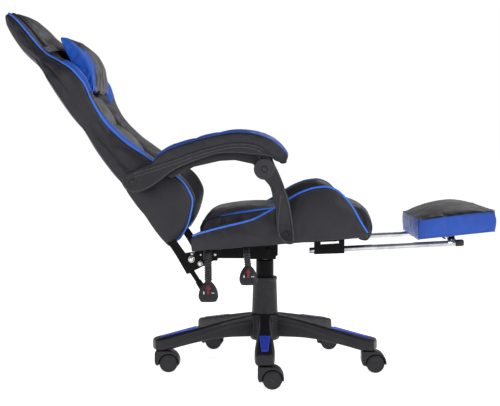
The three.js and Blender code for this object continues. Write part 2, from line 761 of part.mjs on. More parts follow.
const footPad = new THREE.Shape();
footPad.moveTo(410, 374);
footPad.lineTo(620, 396);
footPad.lineTo(619, 452);
footPad.quadraticCurveTo(600, 462, 560, 463);
footPad.quadraticCurveTo(500, 463, 450, 447);
footPad.quadraticCurveTo(428, 441, 412, 430);
add('footrest_pad', acrossX(footPad, -175, 175, 6, 4), 'blue_leather');

const padBottom = (forward) => 374.4 + ((forward - 418) * 21) / 196;
const padPlate = acrossX(polygon([
  [470, padBottom(470) - GAP],
  [570, padBottom(570) - GAP],
  [570, padBottom(570) - 3.3],
  [470, padBottom(470) - 3.3],
]), -70, 70);
const lugs = [-56, 56].flatMap((x) => [
  box(x - 10, x + 10, CROSS_BAR - 8, CROSS_BAR + 8, RAIL_Z, padBottom(CROSS_BAR) - 1.5),
  rodX([CROSS_BAR, RAIL_Z], 10, x - 10, x + 10, 14),
]);
const hingeBore = rodX([CROSS_BAR, RAIL_Z], 6.4, -90, 90, 14);
add('footrest_bracket', cut(join(padPlate, ...lugs), hingeBore), 'black_steel');

export default chair;
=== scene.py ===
"""Reclining gaming chair with a pull-out footrest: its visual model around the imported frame.

Metres, +Z up. The sitter faces -Y, so the sitter's right hand is on -X. Sizes in tables and outlines are
millimetres, given as forward (-Y) and up, and at(), on_seat() and on_back() turn them into metres.
"""
import math

import bpy
import numpy as np
from mathutils import Matrix, Vector
from mathutils.bvhtree import BVHTree


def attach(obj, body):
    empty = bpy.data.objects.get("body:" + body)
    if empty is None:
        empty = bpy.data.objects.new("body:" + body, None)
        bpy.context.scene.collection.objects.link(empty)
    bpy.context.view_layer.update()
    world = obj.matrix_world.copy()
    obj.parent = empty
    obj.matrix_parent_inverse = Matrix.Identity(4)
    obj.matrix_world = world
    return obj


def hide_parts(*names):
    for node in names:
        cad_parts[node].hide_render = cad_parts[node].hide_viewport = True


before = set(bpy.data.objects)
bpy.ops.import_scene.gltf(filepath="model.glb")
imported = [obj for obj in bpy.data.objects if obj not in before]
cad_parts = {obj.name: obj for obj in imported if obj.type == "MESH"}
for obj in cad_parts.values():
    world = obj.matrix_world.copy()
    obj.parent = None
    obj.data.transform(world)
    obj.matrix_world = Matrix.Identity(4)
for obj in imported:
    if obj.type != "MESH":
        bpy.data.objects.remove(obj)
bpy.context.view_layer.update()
MM = 0.001
SIDES = {"right": 1, "left": -1}  # the right side is built, the left is its mirror image


# ---------------------------------------------------------------- places
SEAT_REAR = (-197, 352)  # forward and up of the seat's lower rear corner
SEAT_ANGLE = math.radians(4.76)  # the seat's rise towards the front
BACK_REAR = (-268, 372)  # forward and up of the back's lower rear corner
BACK_ANGLE = math.radians(54.33)  # the back's rise from level, at rest


def at(x, forward, up):
    return Vector((x, -forward, up)) * MM


def on_seat(x, along, up):
    """Along the seat from its lower rear corner, and up from its lower edge."""
    forward = SEAT_REAR[0] + along * math.cos(SEAT_ANGLE) - up * math.sin(SEAT_ANGLE)
    return at(x, forward, SEAT_REAR[1] + along * math.sin(SEAT_ANGLE) + up * math.cos(SEAT_ANGLE))


def on_back(x, along, out):
    """Up along the back from its lower rear corner, and out from its rear face."""
    forward = BACK_REAR[0] - along * math.cos(BACK_ANGLE) + out * math.sin(BACK_ANGLE)
    return at(x, forward, BACK_REAR[1] + along * math.sin(BACK_ANGLE) + out * math.cos(BACK_ANGLE))


# ---------------------------------------------------------------- curves
def clamped(share):
    return min(1.0, max(0.0, share))


def turn_steps(count):
    """Angles of count even steps round a full turn."""
    return [2 * math.pi * k / count for k in range(count)]


def loop(*sides):
    """A closed outline from sides that each end where the next one starts."""
    return [p for side in sides for p in side[:-1]]


def mirror(line):
    """The other half of a symmetric outline, in running order."""
    return [(-x, y) for x, y in reversed(line)]


def even(points, count):
    """count + 1 points at even steps along the line through points."""
    p = np.array([tuple(q) for q in points], float)
    run = np.concatenate([[0], np.cumsum(np.linalg.norm(np.diff(p, axis=0), axis=1))])
    steps = np.linspace(0, run[-1], count + 1)
    return np.stack([np.interp(steps, run, p[:, k]) for k in range(p.shape[1])], axis=1)


def curve(points, count, closed=False):
    """count + 1 even points along a smooth curve through points; a closed curve leaves the last one out."""
    p = [np.array(tuple(q), float) for q in points]
    p = [p[-1], *p, p[0], p[1]] if closed else [2 * p[0] - p[1], *p, 2 * p[-1] - p[-2]]
    fine = []
    for a, b, c, d in zip(p, p[1:], p[2:], p[3:]):
        for t in np.linspace(0, 1, 12, endpoint=False):
            fine.append(0.5 * (2 * b + (c - a) * t + (2 * a - 5 * b + 4 * c - d) * t**2
                               + (3 * b - a - 3 * c + d) * t**3))
    fine.append(p[-2])
    made = even(fine, count)
    return made[:-1] if closed else made


def steady(rows, places):
    """Rows of a table at in-between places of its first column, smooth and with no overshoot."""
    table = np.array(rows, float)
    x = table[:, 0]
    step = np.diff(x)
    made = [np.array(places, float)]
    for y in table[:, 1:].T:
        rise = np.diff(y) / step
        slope = np.zeros(len(x))
        slope[0], slope[-1] = rise[0], rise[-1]
        same = rise[:-1] * rise[1:] > 0
        slope[1:-1][same] = 2 * rise[:-1][same] * rise[1:][same] / (rise[:-1] + rise[1:])[same]
        k = np.clip(np.searchsorted(x, places) - 1, 0, len(x) - 2)
        t = (np.array(places) - x[k]) / step[k]
        made.append(y[k] * (1 + 2 * t) * (1 - t) ** 2 + slope[k] * step[k] * t * (1 - t) ** 2
                    + y[k + 1] * t * t * (3 - 2 * t) - slope[k + 1] * step[k] * t * t * (1 - t))
    return np.stack(made, axis=1)


# ---------------------------------------------------------------- materials
class Shader:
    """A Principled material and short ways to add nodes to it."""

    def __init__(self, name, roughness, metallic=0.0, **constants):
        self.material = bpy.data.materials.new(name)
        self.material.use_nodes = True
        self.tree = self.material.node_tree
        self.surface = self.tree.nodes["Principled BSDF"]
        self.surface.inputs["Roughness"].default_value = roughness
        self.surface.inputs["Metallic"].default_value = metallic
        for socket, value in constants.items():
            self.surface.inputs[socket.replace("_", " ")].default_value = value
        self.place = self.node("TexCoord").outputs["Object"]
        self.height = None

    def node(self, kind, inputs=None, **settings):
        made = self.tree.nodes.new(f"ShaderNode{kind}")
        for key, value in settings.items():
            setattr(made, key, value)
        for key, value in (inputs or {}).items():
            if isinstance(value, bpy.types.NodeSocket):
                self.tree.links.new(value, made.inputs[key])
            else:
                made.inputs[key].default_value = value
        return made

    def noise(self, scale, detail=3.0, stretch=None):
        place = self.place
        if stretch:
            place = self.node("Mapping", {"Vector": place, "Scale": stretch}).outputs["Vector"]
        return self.node("TexNoise", {"Vector": place, "Scale": scale, "Detail": detail}).outputs["Fac"]

    def cells(self, scale, feature):
        inputs = {"Vector": self.place, "Scale": scale, "Randomness": 1.0}
        return self.node("TexVoronoi", inputs, feature=feature).outputs["Distance"]

    def ramp(self, value, low, high, to_low=0.0, to_high=1.0):
        limits = {"Value": value, "From Min": low, "From Max": high, "To Min": to_low, "To Max": to_high}
        return self.node("MapRange", limits).outputs["Result"]

    def bump(self, value, depth):
        """Adds relief of that depth in metres under whatever relief is there."""
        inputs = {"Height": value, "Distance": depth, "Strength": 1.0}
        if self.height is not None:
            inputs["Normal"] = self.height
        self.height = self.node("Bump", inputs).outputs["Normal"]
        self.tree.links.new(self.height, self.surface.inputs["Normal"])

    def mix(self, share, first, second):
        made = self.node("Mix", data_type="RGBA")
        self.tree.links.new(share, made.inputs[0])
        for socket, value in ((made.inputs[6], first), (made.inputs[7], second)):
            if isinstance(value, bpy.types.NodeSocket):
                self.tree.links.new(value, socket)
            else:
                socket.default_value = (*value, 1)
        return made.outputs[2]

    def paint(self, dark, light, patch_scale, wear_and_highlight=None, wear_and_highlight_from=0.53):
        """Colour that drifts between two tones, and is paler on sharp edges: wear on leather and paint, and
        on plastic wear together with a painted highlight along the rims.
        """
        colour = self.mix(self.ramp(self.noise(patch_scale, 4.0), 0.35, 0.65), dark, light)
        # Paler sharp edges: wear, and on plastic also a painted highlight along the rims
        if wear_and_highlight:
            edge = self.node("NewGeometry").outputs["Pointiness"]
            wear_and_highlight_share = self.ramp(edge, wear_and_highlight_from, wear_and_highlight_from + 0.06)
            broken = self.ramp(self.noise(160, 5.0), 0.4, 0.62)
            share = self.node("Math", {0: wear_and_highlight_share, 1: broken}, operation="MULTIPLY").outputs[0]
            colour = self.mix(share, colour, wear_and_highlight)
        self.tree.links.new(colour, self.surface.inputs["Base Color"])

    def gloss(self, value, low, high):
        self.tree.links.new(self.ramp(value, 0.3, 0.7, low, high), self.surface.inputs["Roughness"])


def leather(name, dark, light, wear_and_highlight, shine=0.3):
    """Coated leather: pebbles with creases between them, pores, and soft undulation from the foam."""
    s = Shader(name, 0.42, Specular_IOR_Level=shine, Coat_Weight=0.02, Coat_Roughness=0.3)
    s.paint(dark, light, 9, wear_and_highlight, 0.56)
    s.gloss(s.noise(38, 5.0), 0.36, 0.5)
    s.bump(s.noise(24, 2.0), 0.0011)
    s.bump(s.noise(75, 4.0, (1.0, 1.0, 2.2)), 0.0003)
    s.bump(s.ramp(s.cells(520, "DISTANCE_TO_EDGE"), 0.0, 0.16), 0.00009)
    s.bump(s.noise(2600, 2.0), 0.00003)
    return s.material


def moulded_plastic(name, dark, light, wear_and_highlight, roughness, grain):
    """Spark-eroded plastic: fine even grain, slight flow marks, and edges paler from wear and from a painted
    highlight.
    """
    s = Shader(name, roughness, Specular_IOR_Level=0.34)
    s.paint(dark, light, 14, wear_and_highlight)
    s.gloss(s.noise(60, 5.0), roughness - 0.07, roughness + 0.09)
    s.bump(s.noise(18, 2.0), 0.0003)
    s.bump(s.noise(grain, 3.0), 0.00006)
    return s.material


def powder_coat(name, dark, light, wear_and_highlight):
    """Baked paint on steel: orange peel and chipped edges."""
    s = Shader(name, 0.4, Specular_IOR_Level=0.1)
    s.paint(dark, light, 20, wear_and_highlight)
    s.gloss(s.noise(90, 4.0), 0.33, 0.5)
    s.bump(s.noise(420, 2.0), 0.00008)
    s.bump(s.noise(1500, 2.0), 0.00002)
    return s.material


def bare_metal(name, dark, light, low, high, streaks, depth):
    """Plated metal with fine streaks along its drawing direction and faint smudges."""
    s = Shader(name, low, 1.0)
    s.paint(dark, light, 25)
    s.gloss(s.noise(30, 6.0), low, high)
    s.bump(s.noise(140, 3.0, streaks), depth)
    return s.material


def webbing(name):
    """Woven elastic: warp ribs crossed by weft."""
    s = Shader(name, 0.85, Sheen_Weight=0.35, Sheen_Roughness=0.5)
    s.paint((0.006, 0.006, 0.007), (0.014, 0.014, 0.016), 60)
    s.gloss(s.noise(300, 3.0), 0.78, 0.92)
    for direction, scale in (("X", 420), ("Z", 260)):
        inputs = {"Vector": s.place, "Scale": scale, "Distortion": 0.6}
        s.bump(s.node("TexWave", inputs, bands_direction=direction).outputs["Fac"], 0.00018)
    return s.material


def thread(name, colour, shade):
    """Twisted sewing thread."""
    s = Shader(name, 0.6, Sheen_Weight=0.3)
    s.paint(shade, colour, 500)
    s.gloss(s.noise(900, 2.0), 0.5, 0.7)
    s.bump(s.noise(3500, 1.0), 0.00008)
    return s.material


BLACK_LEATHER = leather(
    "black_leather_grain", (0.0105, 0.0102, 0.0145), (0.0155, 0.0152, 0.0215), (0.032, 0.031, 0.039))
BLUE_LEATHER = leather("blue_leather_grain", (0.010, 0.052, 0.31), (0.016, 0.074, 0.39), (0.05, 0.13, 0.5))
BLUE_PANEL = leather("blue_panel_grain", (0.013, 0.077, 0.40), (0.021, 0.105, 0.49), (0.06, 0.17, 0.6), 0.1)
# Piping in a paler blue than the blue leather: the extra lightness is a painted highlight along the tubes
PIPING_WITH_PAINTED_HIGHLIGHT = leather("blue_piping_painted_highlight", (0.03, 0.13, 0.62), (0.045, 0.17, 0.72), (0.1, 0.26, 0.8))
# Black nylon; its pale edge tone is partly wear and partly a painted highlight on the rims
BLACK_PLASTIC = moulded_plastic(
    "black_nylon", (0.0068, 0.0066, 0.0095), (0.0118, 0.0116, 0.0155), (0.05, 0.05, 0.055), 0.46, 1300)
SATIN_PLASTIC = moulded_plastic(
    "satin_nylon", (0.016, 0.0158, 0.020), (0.023, 0.0228, 0.027), (0.06, 0.06, 0.065), 0.42, 1300)
PRINTS = {
    "red": moulded_plastic(
        "red_print", (0.16, 0.012, 0.018), (0.24, 0.02, 0.028), (0.3, 0.04, 0.05), 0.5, 1900),
    "white": moulded_plastic(
        "white_print", (0.5, 0.5, 0.5), (0.62, 0.62, 0.62), (0.7, 0.7, 0.7), 0.5, 1900),
}
# Paler nylon for the raised beads, ridges and ribs: a painted highlight along them
PAINTED_HIGHLIGHT_PLASTIC = moulded_plastic(
    "nylon_painted_highlight", (0.030, 0.030, 0.036), (0.044, 0.044, 0.050), (0.08, 0.08, 0.085), 0.34, 1300)
BLUE_PLASTIC = moulded_plastic(
    "blue_inlay_plastic", (0.018, 0.045, 0.55), (0.026, 0.062, 0.66), (0.08, 0.13, 0.7), 0.36, 1700)
BLACK_STEEL = powder_coat(
    "black_powder_coat", (0.0012, 0.0012, 0.0016), (0.0025, 0.0025, 0.003), (0.02, 0.02, 0.022))
ZINC = bare_metal("zinc_plate", (0.52, 0.53, 0.54), (0.7, 0.7, 0.69), 0.22, 0.4, (1, 1, 1), 0.00006)
CHROME = bare_metal("chrome_plate", (0.36, 0.37, 0.39), (0.62, 0.63, 0.65), 0.06, 0.16, (1, 0.04, 1), 0.00006)
STRAP = webbing("woven_elastic")
BLACK_THREAD = thread("black_thread", (0.03, 0.03, 0.033), (0.012, 0.012, 0.013))
BLUE_THREAD = thread("blue_thread", (0.04, 0.13, 0.6), (0.02, 0.07, 0.4))
FINISH = {
    "black_leather": BLACK_LEATHER, "blue_leather": BLUE_LEATHER, "black_plastic": BLACK_PLASTIC,
    "blue_plastic": BLUE_PLASTIC, "black_steel": BLACK_STEEL, "zinc": ZINC, "chrome": CHROME, "strap": STRAP,
}


# ---------------------------------------------------------------- meshes
def new_object(name, points, faces):
    mesh = bpy.data.meshes.new(name)
    mesh.from_pydata([tuple(p) for p in points], [], faces)
    mesh.update()
    made = bpy.data.objects.new(name, mesh)
    bpy.context.scene.collection.objects.link(made)
    return made


def turn_faces_out(mesh):
    """Flips every face if the closed mesh encloses a negative volume."""
    mesh.calc_loop_triangles()
    co = np.array([v.co for v in mesh.vertices])
    tri = np.array([t.vertices for t in mesh.loop_triangles])
    a, b, c = co[tri[:, 0]], co[tri[:, 1]], co[tri[:, 2]]
    if np.einsum("ij,ij->i", a, np.cross(b, c)).sum() < 0:
        mesh.flip_normals()


dressed = {}  # body and slot of each piece


def dress(piece, body, finish, replaces=(), material=None):
    """Gives a finished piece its material, smooth faces, body and slot, and hides the CAD nodes that it
    stands for.
    """
    if not piece.data.materials:
        piece.data.materials.append(material or FINISH[finish])
    piece.data.shade_smooth()
    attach(piece, body)
    if replaces:
        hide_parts(*replaces)
    dressed[piece.name] = body, finish
    return piece


def crisp(node):
    """Small rounded edges on a CAD node, with its flat faces kept flat in the shading."""
    node.modifiers.new("weld", "WELD").merge_threshold = 1e-5
    bevel = node.modifiers.new("edges", "BEVEL")
    bevel.width = 0.6 * MM
    bevel.segments = 2
    bevel.limit_method = "ANGLE"
    bevel.angle_limit = math.radians(35)
    bevel.use_clamp_overlap = True
    node.modifiers.new("normals", "WEIGHTED_NORMAL").weight = 80


def mirrored(piece, name):
    """The same piece for the sitter's left."""
    mesh = piece.data.copy()
    mesh.transform(Matrix.Scale(-1, 4, (1, 0, 0)))
    mesh.flip_normals()
    made = bpy.data.objects.new(name, mesh)
    bpy.context.scene.collection.objects.link(made)
    for modifier in piece.modifiers:
        copy = made.modifiers.new(modifier.name, modifier.type)
        for key in modifier.bl_rna.properties.keys():
            if not modifier.bl_rna.properties[key].is_readonly and key not in ("name", "type"):
                setattr(copy, key, getattr(modifier, key))
    return made


def skin(rings, closed_ends=True):
    """Points and faces over rings of points, with flat ends."""
    n = len(rings[0])
    points = [p for ring in rings for p in ring]
    faces = []
    for r in range(len(rings) - 1):
        for i in range(n):
            j = (i + 1) % n
            faces.append((r * n + i, r * n + j, (r + 1) * n + j, (r + 1) * n + i))
    if closed_ends:
        last = (len(rings) - 1) * n
        faces.append(tuple(range(n))[::-1])
        faces.append(tuple(last + i for i in range(n)))
    return points, faces


def joined(name, *parts):
    """One object from several lists of points and faces."""
    points, faces = [], []
    for p, f in parts:
        start = len(points)
        points.extend(p)
        faces.extend(tuple(start + i for i in face) for face in f)
    return new_object(name, points, faces)


def build(name, parts, body, finish, replaces=(), material=None):
    """A dressed piece from lists of points and faces."""
    return dress(joined(name, *parts), body, finish, replaces, material)


def tube_skin(path, radius, sides=12, rounded=True):
    """A round tube along path; radius may be one number or one for each point."""
    path = [Vector(p) for p in path]
    radii = [radius] * len(path) if isinstance(radius, (int, float)) else list(radius)
    ahead = [(path[min(i + 1, len(path) - 1)] - path[max(i - 1, 0)]).normalized() for i in range(len(path))]
    if rounded:
        tips = [(1 - t, math.sqrt(1 - (1 - t) ** 2)) for t in (0.35, 0.75)]  # beyond the end, and size there
        path = [*(path[0] - ahead[0] * radii[0] * beyond for beyond, _ in tips), *path,
                *(path[-1] + ahead[-1] * radii[-1] * beyond for beyond, _ in tips[::-1])]
        radii = [*(radii[0] * size for _, size in tips), *radii,
                 *(radii[-1] * size for _, size in tips[::-1])]
        ahead = [ahead[0]] * 2 + ahead + [ahead[-1]] * 2
    across = ahead[0].orthogonal().normalized()
    rings = []
    for point, direction, size in zip(path, ahead, radii):
        across = (across - direction * across.dot(direction)).normalized()
        up = direction.cross(across)
        rings.append([point + (across * math.cos(a) + up * math.sin(a)) * size for a in turn_steps(sides)])
    return skin(rings)


def lathe_skin(profile, sides, centre=(0, 0, 0), axis="Z"):
    """A turned form. The profile is (radius, along) in millimetres; centre is in metres."""
    turns = {"Z": (0, 1, 2), "X": (2, 1, 0)}[axis]
    rings = []
    for radius, along in profile:
        ring = []
        for a in turn_steps(sides):
            p = (max(radius, 0.02) * math.cos(a), max(radius, 0.02) * math.sin(a), along)
            ring.append(Vector([p[t] for t in turns]) * MM + Vector(centre))
        rings.append(ring)
    return skin(rings)


def rounded_profile(profile, radius, steps=4):
    """A lathe profile with its corners rounded."""
    made = [Vector(profile[0])]
    for before, corner, after in zip(profile, profile[1:], profile[2:]):
        corner = Vector(corner)
        a, b = Vector(before) - corner, Vector(after) - corner
        cut = min(radius, a.length * 0.45, b.length * 0.45)
        start, stop = corner + a.normalized() * cut, corner + b.normalized() * cut
        for k in range(steps + 1):
            t = k / steps
            made.append(start * (1 - t) ** 2 + corner * 2 * t * (1 - t) + stop * t * t)
    return [*made, Vector(profile[-1])]


def inset(outline, by):
    """A closed side outline moved inwards."""
    p = np.array(outline, float)
    ahead = np.roll(p, -1, axis=0) - np.roll(p, 1, axis=0)
    ahead /= np.linalg.norm(ahead, axis=1)[:, None]
    x, y = p[:, 0], p[:, 1]
    area = (x * np.roll(y, -1) - y * np.roll(x, -1)).sum()
    inward = np.stack([-ahead[:, 1], ahead[:, 0]], axis=1) * np.sign(area)
    return p + inward * by


def slab_skin(outline, x0, x1, edge, steps=4):
    """A side outline carried across from x0 to x1, with rounded edges."""
    rings = []
    for x, sign in ((x0, 1), (x1, -1)):
        turns = range(steps + 1) if sign > 0 else range(steps, -1, -1)
        for k in turns:
            a = math.pi / 2 * k / steps
            ring = inset(outline, edge * (1 - math.sin(a)))
            rings.append([at(x + sign * edge * (1 - math.cos(a)), f, z) for f, z in ring])
    return skin(rings)


def fused(name, parts, voxel, smooth, passes):
    """One closed skin over overlapping parts, with softened joints."""
    piece = joined(name, *parts)
    remesh = piece.modifiers.new("remesh", "REMESH")
    remesh.mode = "VOXEL"
    remesh.voxel_size = voxel
    soften = piece.modifiers.new("soften", "SMOOTH")
    soften.factor = smooth
    soften.iterations = passes
    view = bpy.context.evaluated_depsgraph_get()
    view.update()
    mesh = bpy.data.meshes.new_from_object(piece.evaluated_get(view))
    piece.modifiers.clear()
    piece.data = mesh
    return piece


# ---------------------------------------------------------------- soft forms
class SoftForm:
    """A closed skin of quads: rings with sides of a, b, a and b steps, and a by b grids over the ends."""

    def __init__(self, name, rings, a, b):
        self.a, self.b, self.count, self.n = a, b, len(rings), 2 * (a + b)
        points = [Vector(p) for ring in rings for p in ring]
        _, faces = skin(rings, closed_ends=False)
        self.where = [("wall", r, i) for r in range(self.count - 1) for i in range(self.n)]
        for r in (0, self.count - 1):
            grid = self.end_grid(r * self.n, points)
            for u in range(a):
                for v in range(b):
                    face = (grid[u][v], grid[u + 1][v], grid[u + 1][v + 1], grid[u][v + 1])
                    faces.append(face if r else face[::-1])
                    self.where.append(("end", r, u))
        self.piece = new_object(name, points, faces)
        turn_faces_out(self.piece.data)
        self.pins = set()

    def end_grid(self, start, points):
        """Vertex numbers over an end whose ring begins at start; the inner points are added to points."""
        a, b, n = self.a, self.b, self.n
        index = [[None] * (b + 1) for _ in range(a + 1)]
        for u in range(a + 1):
            index[u][0], index[u][b] = start + u, start + a + b + (a - u)
        for v in range(b + 1):
            index[a][v], index[0][v] = start + a + v, start + (2 * a + b + (b - v)) % n
        for u in range(1, a):
            for v in range(1, b):
                s, t = u / a, v / b
                low, high, left, right = (
                    points[index[u][0]], points[index[u][b]], points[index[0][v]], points[index[a][v]])
                corners = (points[index[0][0]] * (1 - s) * (1 - t) + points[index[a][0]] * s * (1 - t)
                           + points[index[0][b]] * (1 - s) * t + points[index[a][b]] * s * t)
                index[u][v] = len(points)
                points.append(low * (1 - t) + high * t + left * (1 - s) + right * s - corners)
        return index

    def corner(self, k):
        """Place of a corner in each ring."""
        return (0, self.a, self.a + self.b, 2 * self.a + self.b)[k]

    def ring(self, r, start=0, stop=None):
        """Vertices of a ring from one place round it to another."""
        r %= self.count
        stop = self.n if stop is None else stop
        return [r * self.n + i % self.n for i in range(start, stop + 1)]

    def line(self, i, start=0, stop=None):
        """Vertices along the form at one place of its rings."""
        stop = self.count if stop is None else stop
        return [r * self.n + i % self.n for r in range(start, stop)]

    def edge(self, k, shift=0, start=0, stop=None):
        """Vertices along the form at a corner of its rings, or shift places on from it."""
        return self.line(self.corner(k) + shift, start, stop)

    def side(self, k):
        """Vertices of a whole side, edges included."""
        first = self.corner(k)
        steps = self.a if k % 2 == 0 else self.b
        return [v for i in range(first, first + steps + 1) for v in self.line(i)]

    def cap(self):
        """Vertices inside the first ring's end."""
        first = self.count * self.n
        return range(first, first + (self.a - 1) * (self.b - 1))

    def pin(self, *groups):
        for group in groups:
            self.pins.update(group)

    def pin_edges(self):
        self.pin(*(self.edge(k) for k in range(4)), self.ring(0), self.ring(-1))

    def points(self, indices):
        return [self.piece.data.vertices[i].co.copy() for i in indices]

    def paint(self, materials, choose):
        """choose(kind, ring, place) gives the number of a face's material."""
        for material in materials:
            self.piece.data.materials.append(material)
        for face, where in zip(self.piece.data.polygons, self.where):
            face.material_index = choose(*where)


def crown(form, height, steps=70):
    """Swells the skin between its pinned lines, before the cloth is stretched over it."""
    mesh = form.piece.data
    edges = np.array([e.vertices for e in mesh.edges])
    pinned = np.array(sorted(form.pins))
    lift = np.full(len(mesh.vertices), height)
    lift[pinned] = 0
    degree = np.bincount(edges.ravel(), minlength=len(lift))
    for _ in range(steps):
        total = np.bincount(edges[:, 0], lift[edges[:, 1]], len(lift))
        total += np.bincount(edges[:, 1], lift[edges[:, 0]], len(lift))
        lift = total / degree
        lift[pinned] = 0
    for vertex, amount, normal in zip(mesh.vertices, lift, [n.vector.copy() for n in mesh.vertex_normals]):
        vertex.co += normal * amount


CLOTH_FRAMES = 20
waiting = []  # soft forms that the cloth run below shapes, each with its limit


def upholster(form, rise, pressure, limit, slack):
    """Crowns a form and readies it for the cloth run. slack is the share of spare cloth, which wrinkles."""
    crown(form, rise)
    waiting.append((form, limit))
    group = form.piece.vertex_groups.new(name="seams")
    group.add(sorted(form.pins), 1.0, "REPLACE")
    cloth = form.piece.modifiers.new("cloth", "CLOTH")
    settings = {
        "vertex_group_mass": "seams", "quality": 5, "mass": 0.3, "tension_stiffness": 25,
        "compression_stiffness": 25, "shear_stiffness": 10, "bending_stiffness": 1.5, "air_damping": 3,
        "use_pressure": True, "uniform_pressure_force": pressure, "shrink_min": -slack,
    }
    for key, value in settings.items():
        setattr(cloth.settings, key, value)
    cloth.settings.effector_weights.gravity = 0
    cloth.collision_settings.use_collision = False
    cloth.point_cache.frame_end = CLOTH_FRAMES


def run_cloth():
    """Steps all the cloth at once, keeps each point within its form's limit, and leaves no Cloth behind."""
    scene = bpy.context.scene
    for number in range(1, CLOTH_FRAMES + 1):
        scene.frame_set(number)
    view = bpy.context.evaluated_depsgraph_get()
    for form, limit in waiting:
        shaped = form.piece.evaluated_get(view).data
        for vertex, target in zip(form.piece.data.vertices, shaped.vertices):
            move = target.co - vertex.co
            if move.length > limit:
                move *= limit / move.length
            vertex.co += move
    for form, _ in waiting:
        form.piece.modifiers.clear()
        form.piece.vertex_groups.clear()
    scene.frame_set(1)


def finish_soft(form, body, slot, replaces):
    form.piece.modifiers.new("surface", "SUBSURF").levels = 1
    form.piece.modifiers["surface"].render_levels = 1
    dress(form.piece, body, slot, replaces)


def soft_twin(piece, name, body, slot, replaces):
    """The left copy of a finished right piece."""
    made = mirrored(piece, name)
    dress(made, body, slot, replaces)


# ---------------------------------------------------------------- seams
PIPING_R = 2.7 * MM
STITCH_PITCH = 6.0 * MM
STITCH_LENGTH = 3.8 * MM
STITCH_R = 0.55 * MM
STITCH_REACH = 20 * MM  # a planned stitch further than this from its piece is left out


# By default piping takes the paler blue, a painted highlight
def piping(name, path, body, radius=PIPING_R, slot="blue_leather", material=PIPING_WITH_PAINTED_HIGHLIGHT):
    path = curve(path, max(12, int(len(path) * 1.5)))
    build(name, [tube_skin(path, radius, 10)], body, slot, material=material)


def surface_of(piece):
    """A lookup of the piece's finished surface."""
    view = bpy.context.evaluated_depsgraph_get()
    view.update()
    return BVHTree.FromObject(piece, view)


def stitches(name, paths, piece, material):
    """A row of thread stitches that lie on the piece along each path."""
    surface = surface_of(piece)
    parts = []
    for path in paths:
        length = sum((Vector(b) - Vector(a)).length for a, b in zip(path, path[1:]))
        places = even(path, max(2, int(length / STITCH_PITCH)))
        for here, following in zip(places, places[1:]):
            here, ahead = Vector(here), (Vector(following) - Vector(here)).normalized()
            spot, normal, _, distance = surface.find_nearest(here)
            if spot is None or distance > STITCH_REACH:
                continue
            ahead = (ahead - normal * ahead.dot(normal)).normalized()
            low, high = normal * STITCH_R * -0.5, normal * STITCH_R * 0.7
            half = ahead * STITCH_LENGTH * 0.5
            line = [spot - half + low, spot - half * 0.6 + high, spot + half * 0.6 + high, spot + half + low]
            parts.append(tube_skin(line, [STITCH_R * k for k in (0.7, 1, 1, 0.7)], 6, rounded=False))
    build(name, parts, *dressed[piece.name], material=material)


def patch(name, piece, grid, slot, material, lift=0.9 * MM):
    """A thin applied panel that follows the piece's surface. grid is rows of points near it."""
    surface = surface_of(piece)
    rows, cols = len(grid), len(grid[0])
    top, under = [], []
    for r, row in enumerate(grid):
        for c, point in enumerate(row):
            spot, normal, _, _ = surface.find_nearest(Vector(point))
            edge = r in (0, rows - 1) or c in (0, cols - 1)
            top.append(spot + normal * lift * (0.35 if edge else 1))
            under.append(spot - normal * lift)
    n = rows * cols
    faces = []
    for r in range(rows - 1):
        for c in range(cols - 1):
            i = r * cols + c
            faces.append((i, i + 1, i + cols + 1, i + cols))
            faces.append((n + i, n + i + cols, n + i + cols + 1, n + i + 1))
    rim = [*range(cols)] + [r * cols + cols - 1 for r in range(1, rows)]
    rim += [(rows - 1) * cols + c for c in range(cols - 2, -1, -1)]
    rim += [r * cols for r in range(rows - 2, 0, -1)]
    for i, j in zip(rim, rim[1:] + rim[:1]):
        faces.append((j, i, n + i, n + j))
    made = new_object(name, top + under, faces)
    turn_faces_out(made.data)
    dress(made, dressed[piece.name][0], slot, material=material)


# ---------------------------------------------------------------- back
# along, half width, bed of the panel, wing edge, foot of the wing's slope, panel front, panel half width,
# rear face
BACK = [
    (-16, 214, 28, 40, 34, 36, 116, 0),
    (-4, 228, 36, 69, 46, 48, 120, 0),
    (14, 235, 42, 95, 56, 58, 124, 0),
    (55, 239, 44, 132, 64, 66, 127, 0),
    (92, 240, 44, 137, 70, 72, 129, 0),
    (195, 237, 44, 104, 70, 72, 132, 0),
    (293, 228, 42, 70, 61, 62, 134, 0),
    (356, 225, 38, 61, 50, 52, 134, 0),
    (417, 240, 35, 68, 45, 47, 132, 1),
    (461, 251, 34, 78, 43, 45, 128, 3),
    (502, 249, 33, 75, 44, 46, 122, 4),
    (542, 232, 32, 61, 47, 51, 117, 3),
    (590, 199, 30, 38, 52, 58, 112, 0),
    (621, 181, 26, 31, 45, 50, 110, -7),
    (640, 176, 24, 29, 41, 45, 109, -12),
    (676, 169, 21, 26, 37, 42, 106, -13),
    (718, 160, 17, 21, 30, 36, 98, -11),
    (745, 142, 9, 12, 19, 24, 84, -4),
]
BACK_TOP = BACK[-1][0]
BACK_STEP = 8
SLOPE, GUTTER, BED, BACK_SIDE = 14, 2, 14, 16  # steps across the wing's slope, the seam, the bed and the side
# along, and the wing's height over its edge
WING_CREST = ((180, 260, 350, 405, 450, 475, 535, 570), (5, 7, 7, 5, 5, 10, 10, 4))
BACK_REAR_TUCKS = (90, 184, 359, 560)
SIDE_TUCK_SPAN = (170, 570)
PANEL_TUCKS = (112, 232, 352)
PANEL_STEPS, PANEL_SIDE = 36, 4
back_rows = steady(BACK, np.linspace(BACK[0][0], BACK_TOP, int((BACK_TOP - BACK[0][0]) / BACK_STEP) + 1))


def back_station(along):
    return int(np.argmin(abs(back_rows[:, 0] - along)))


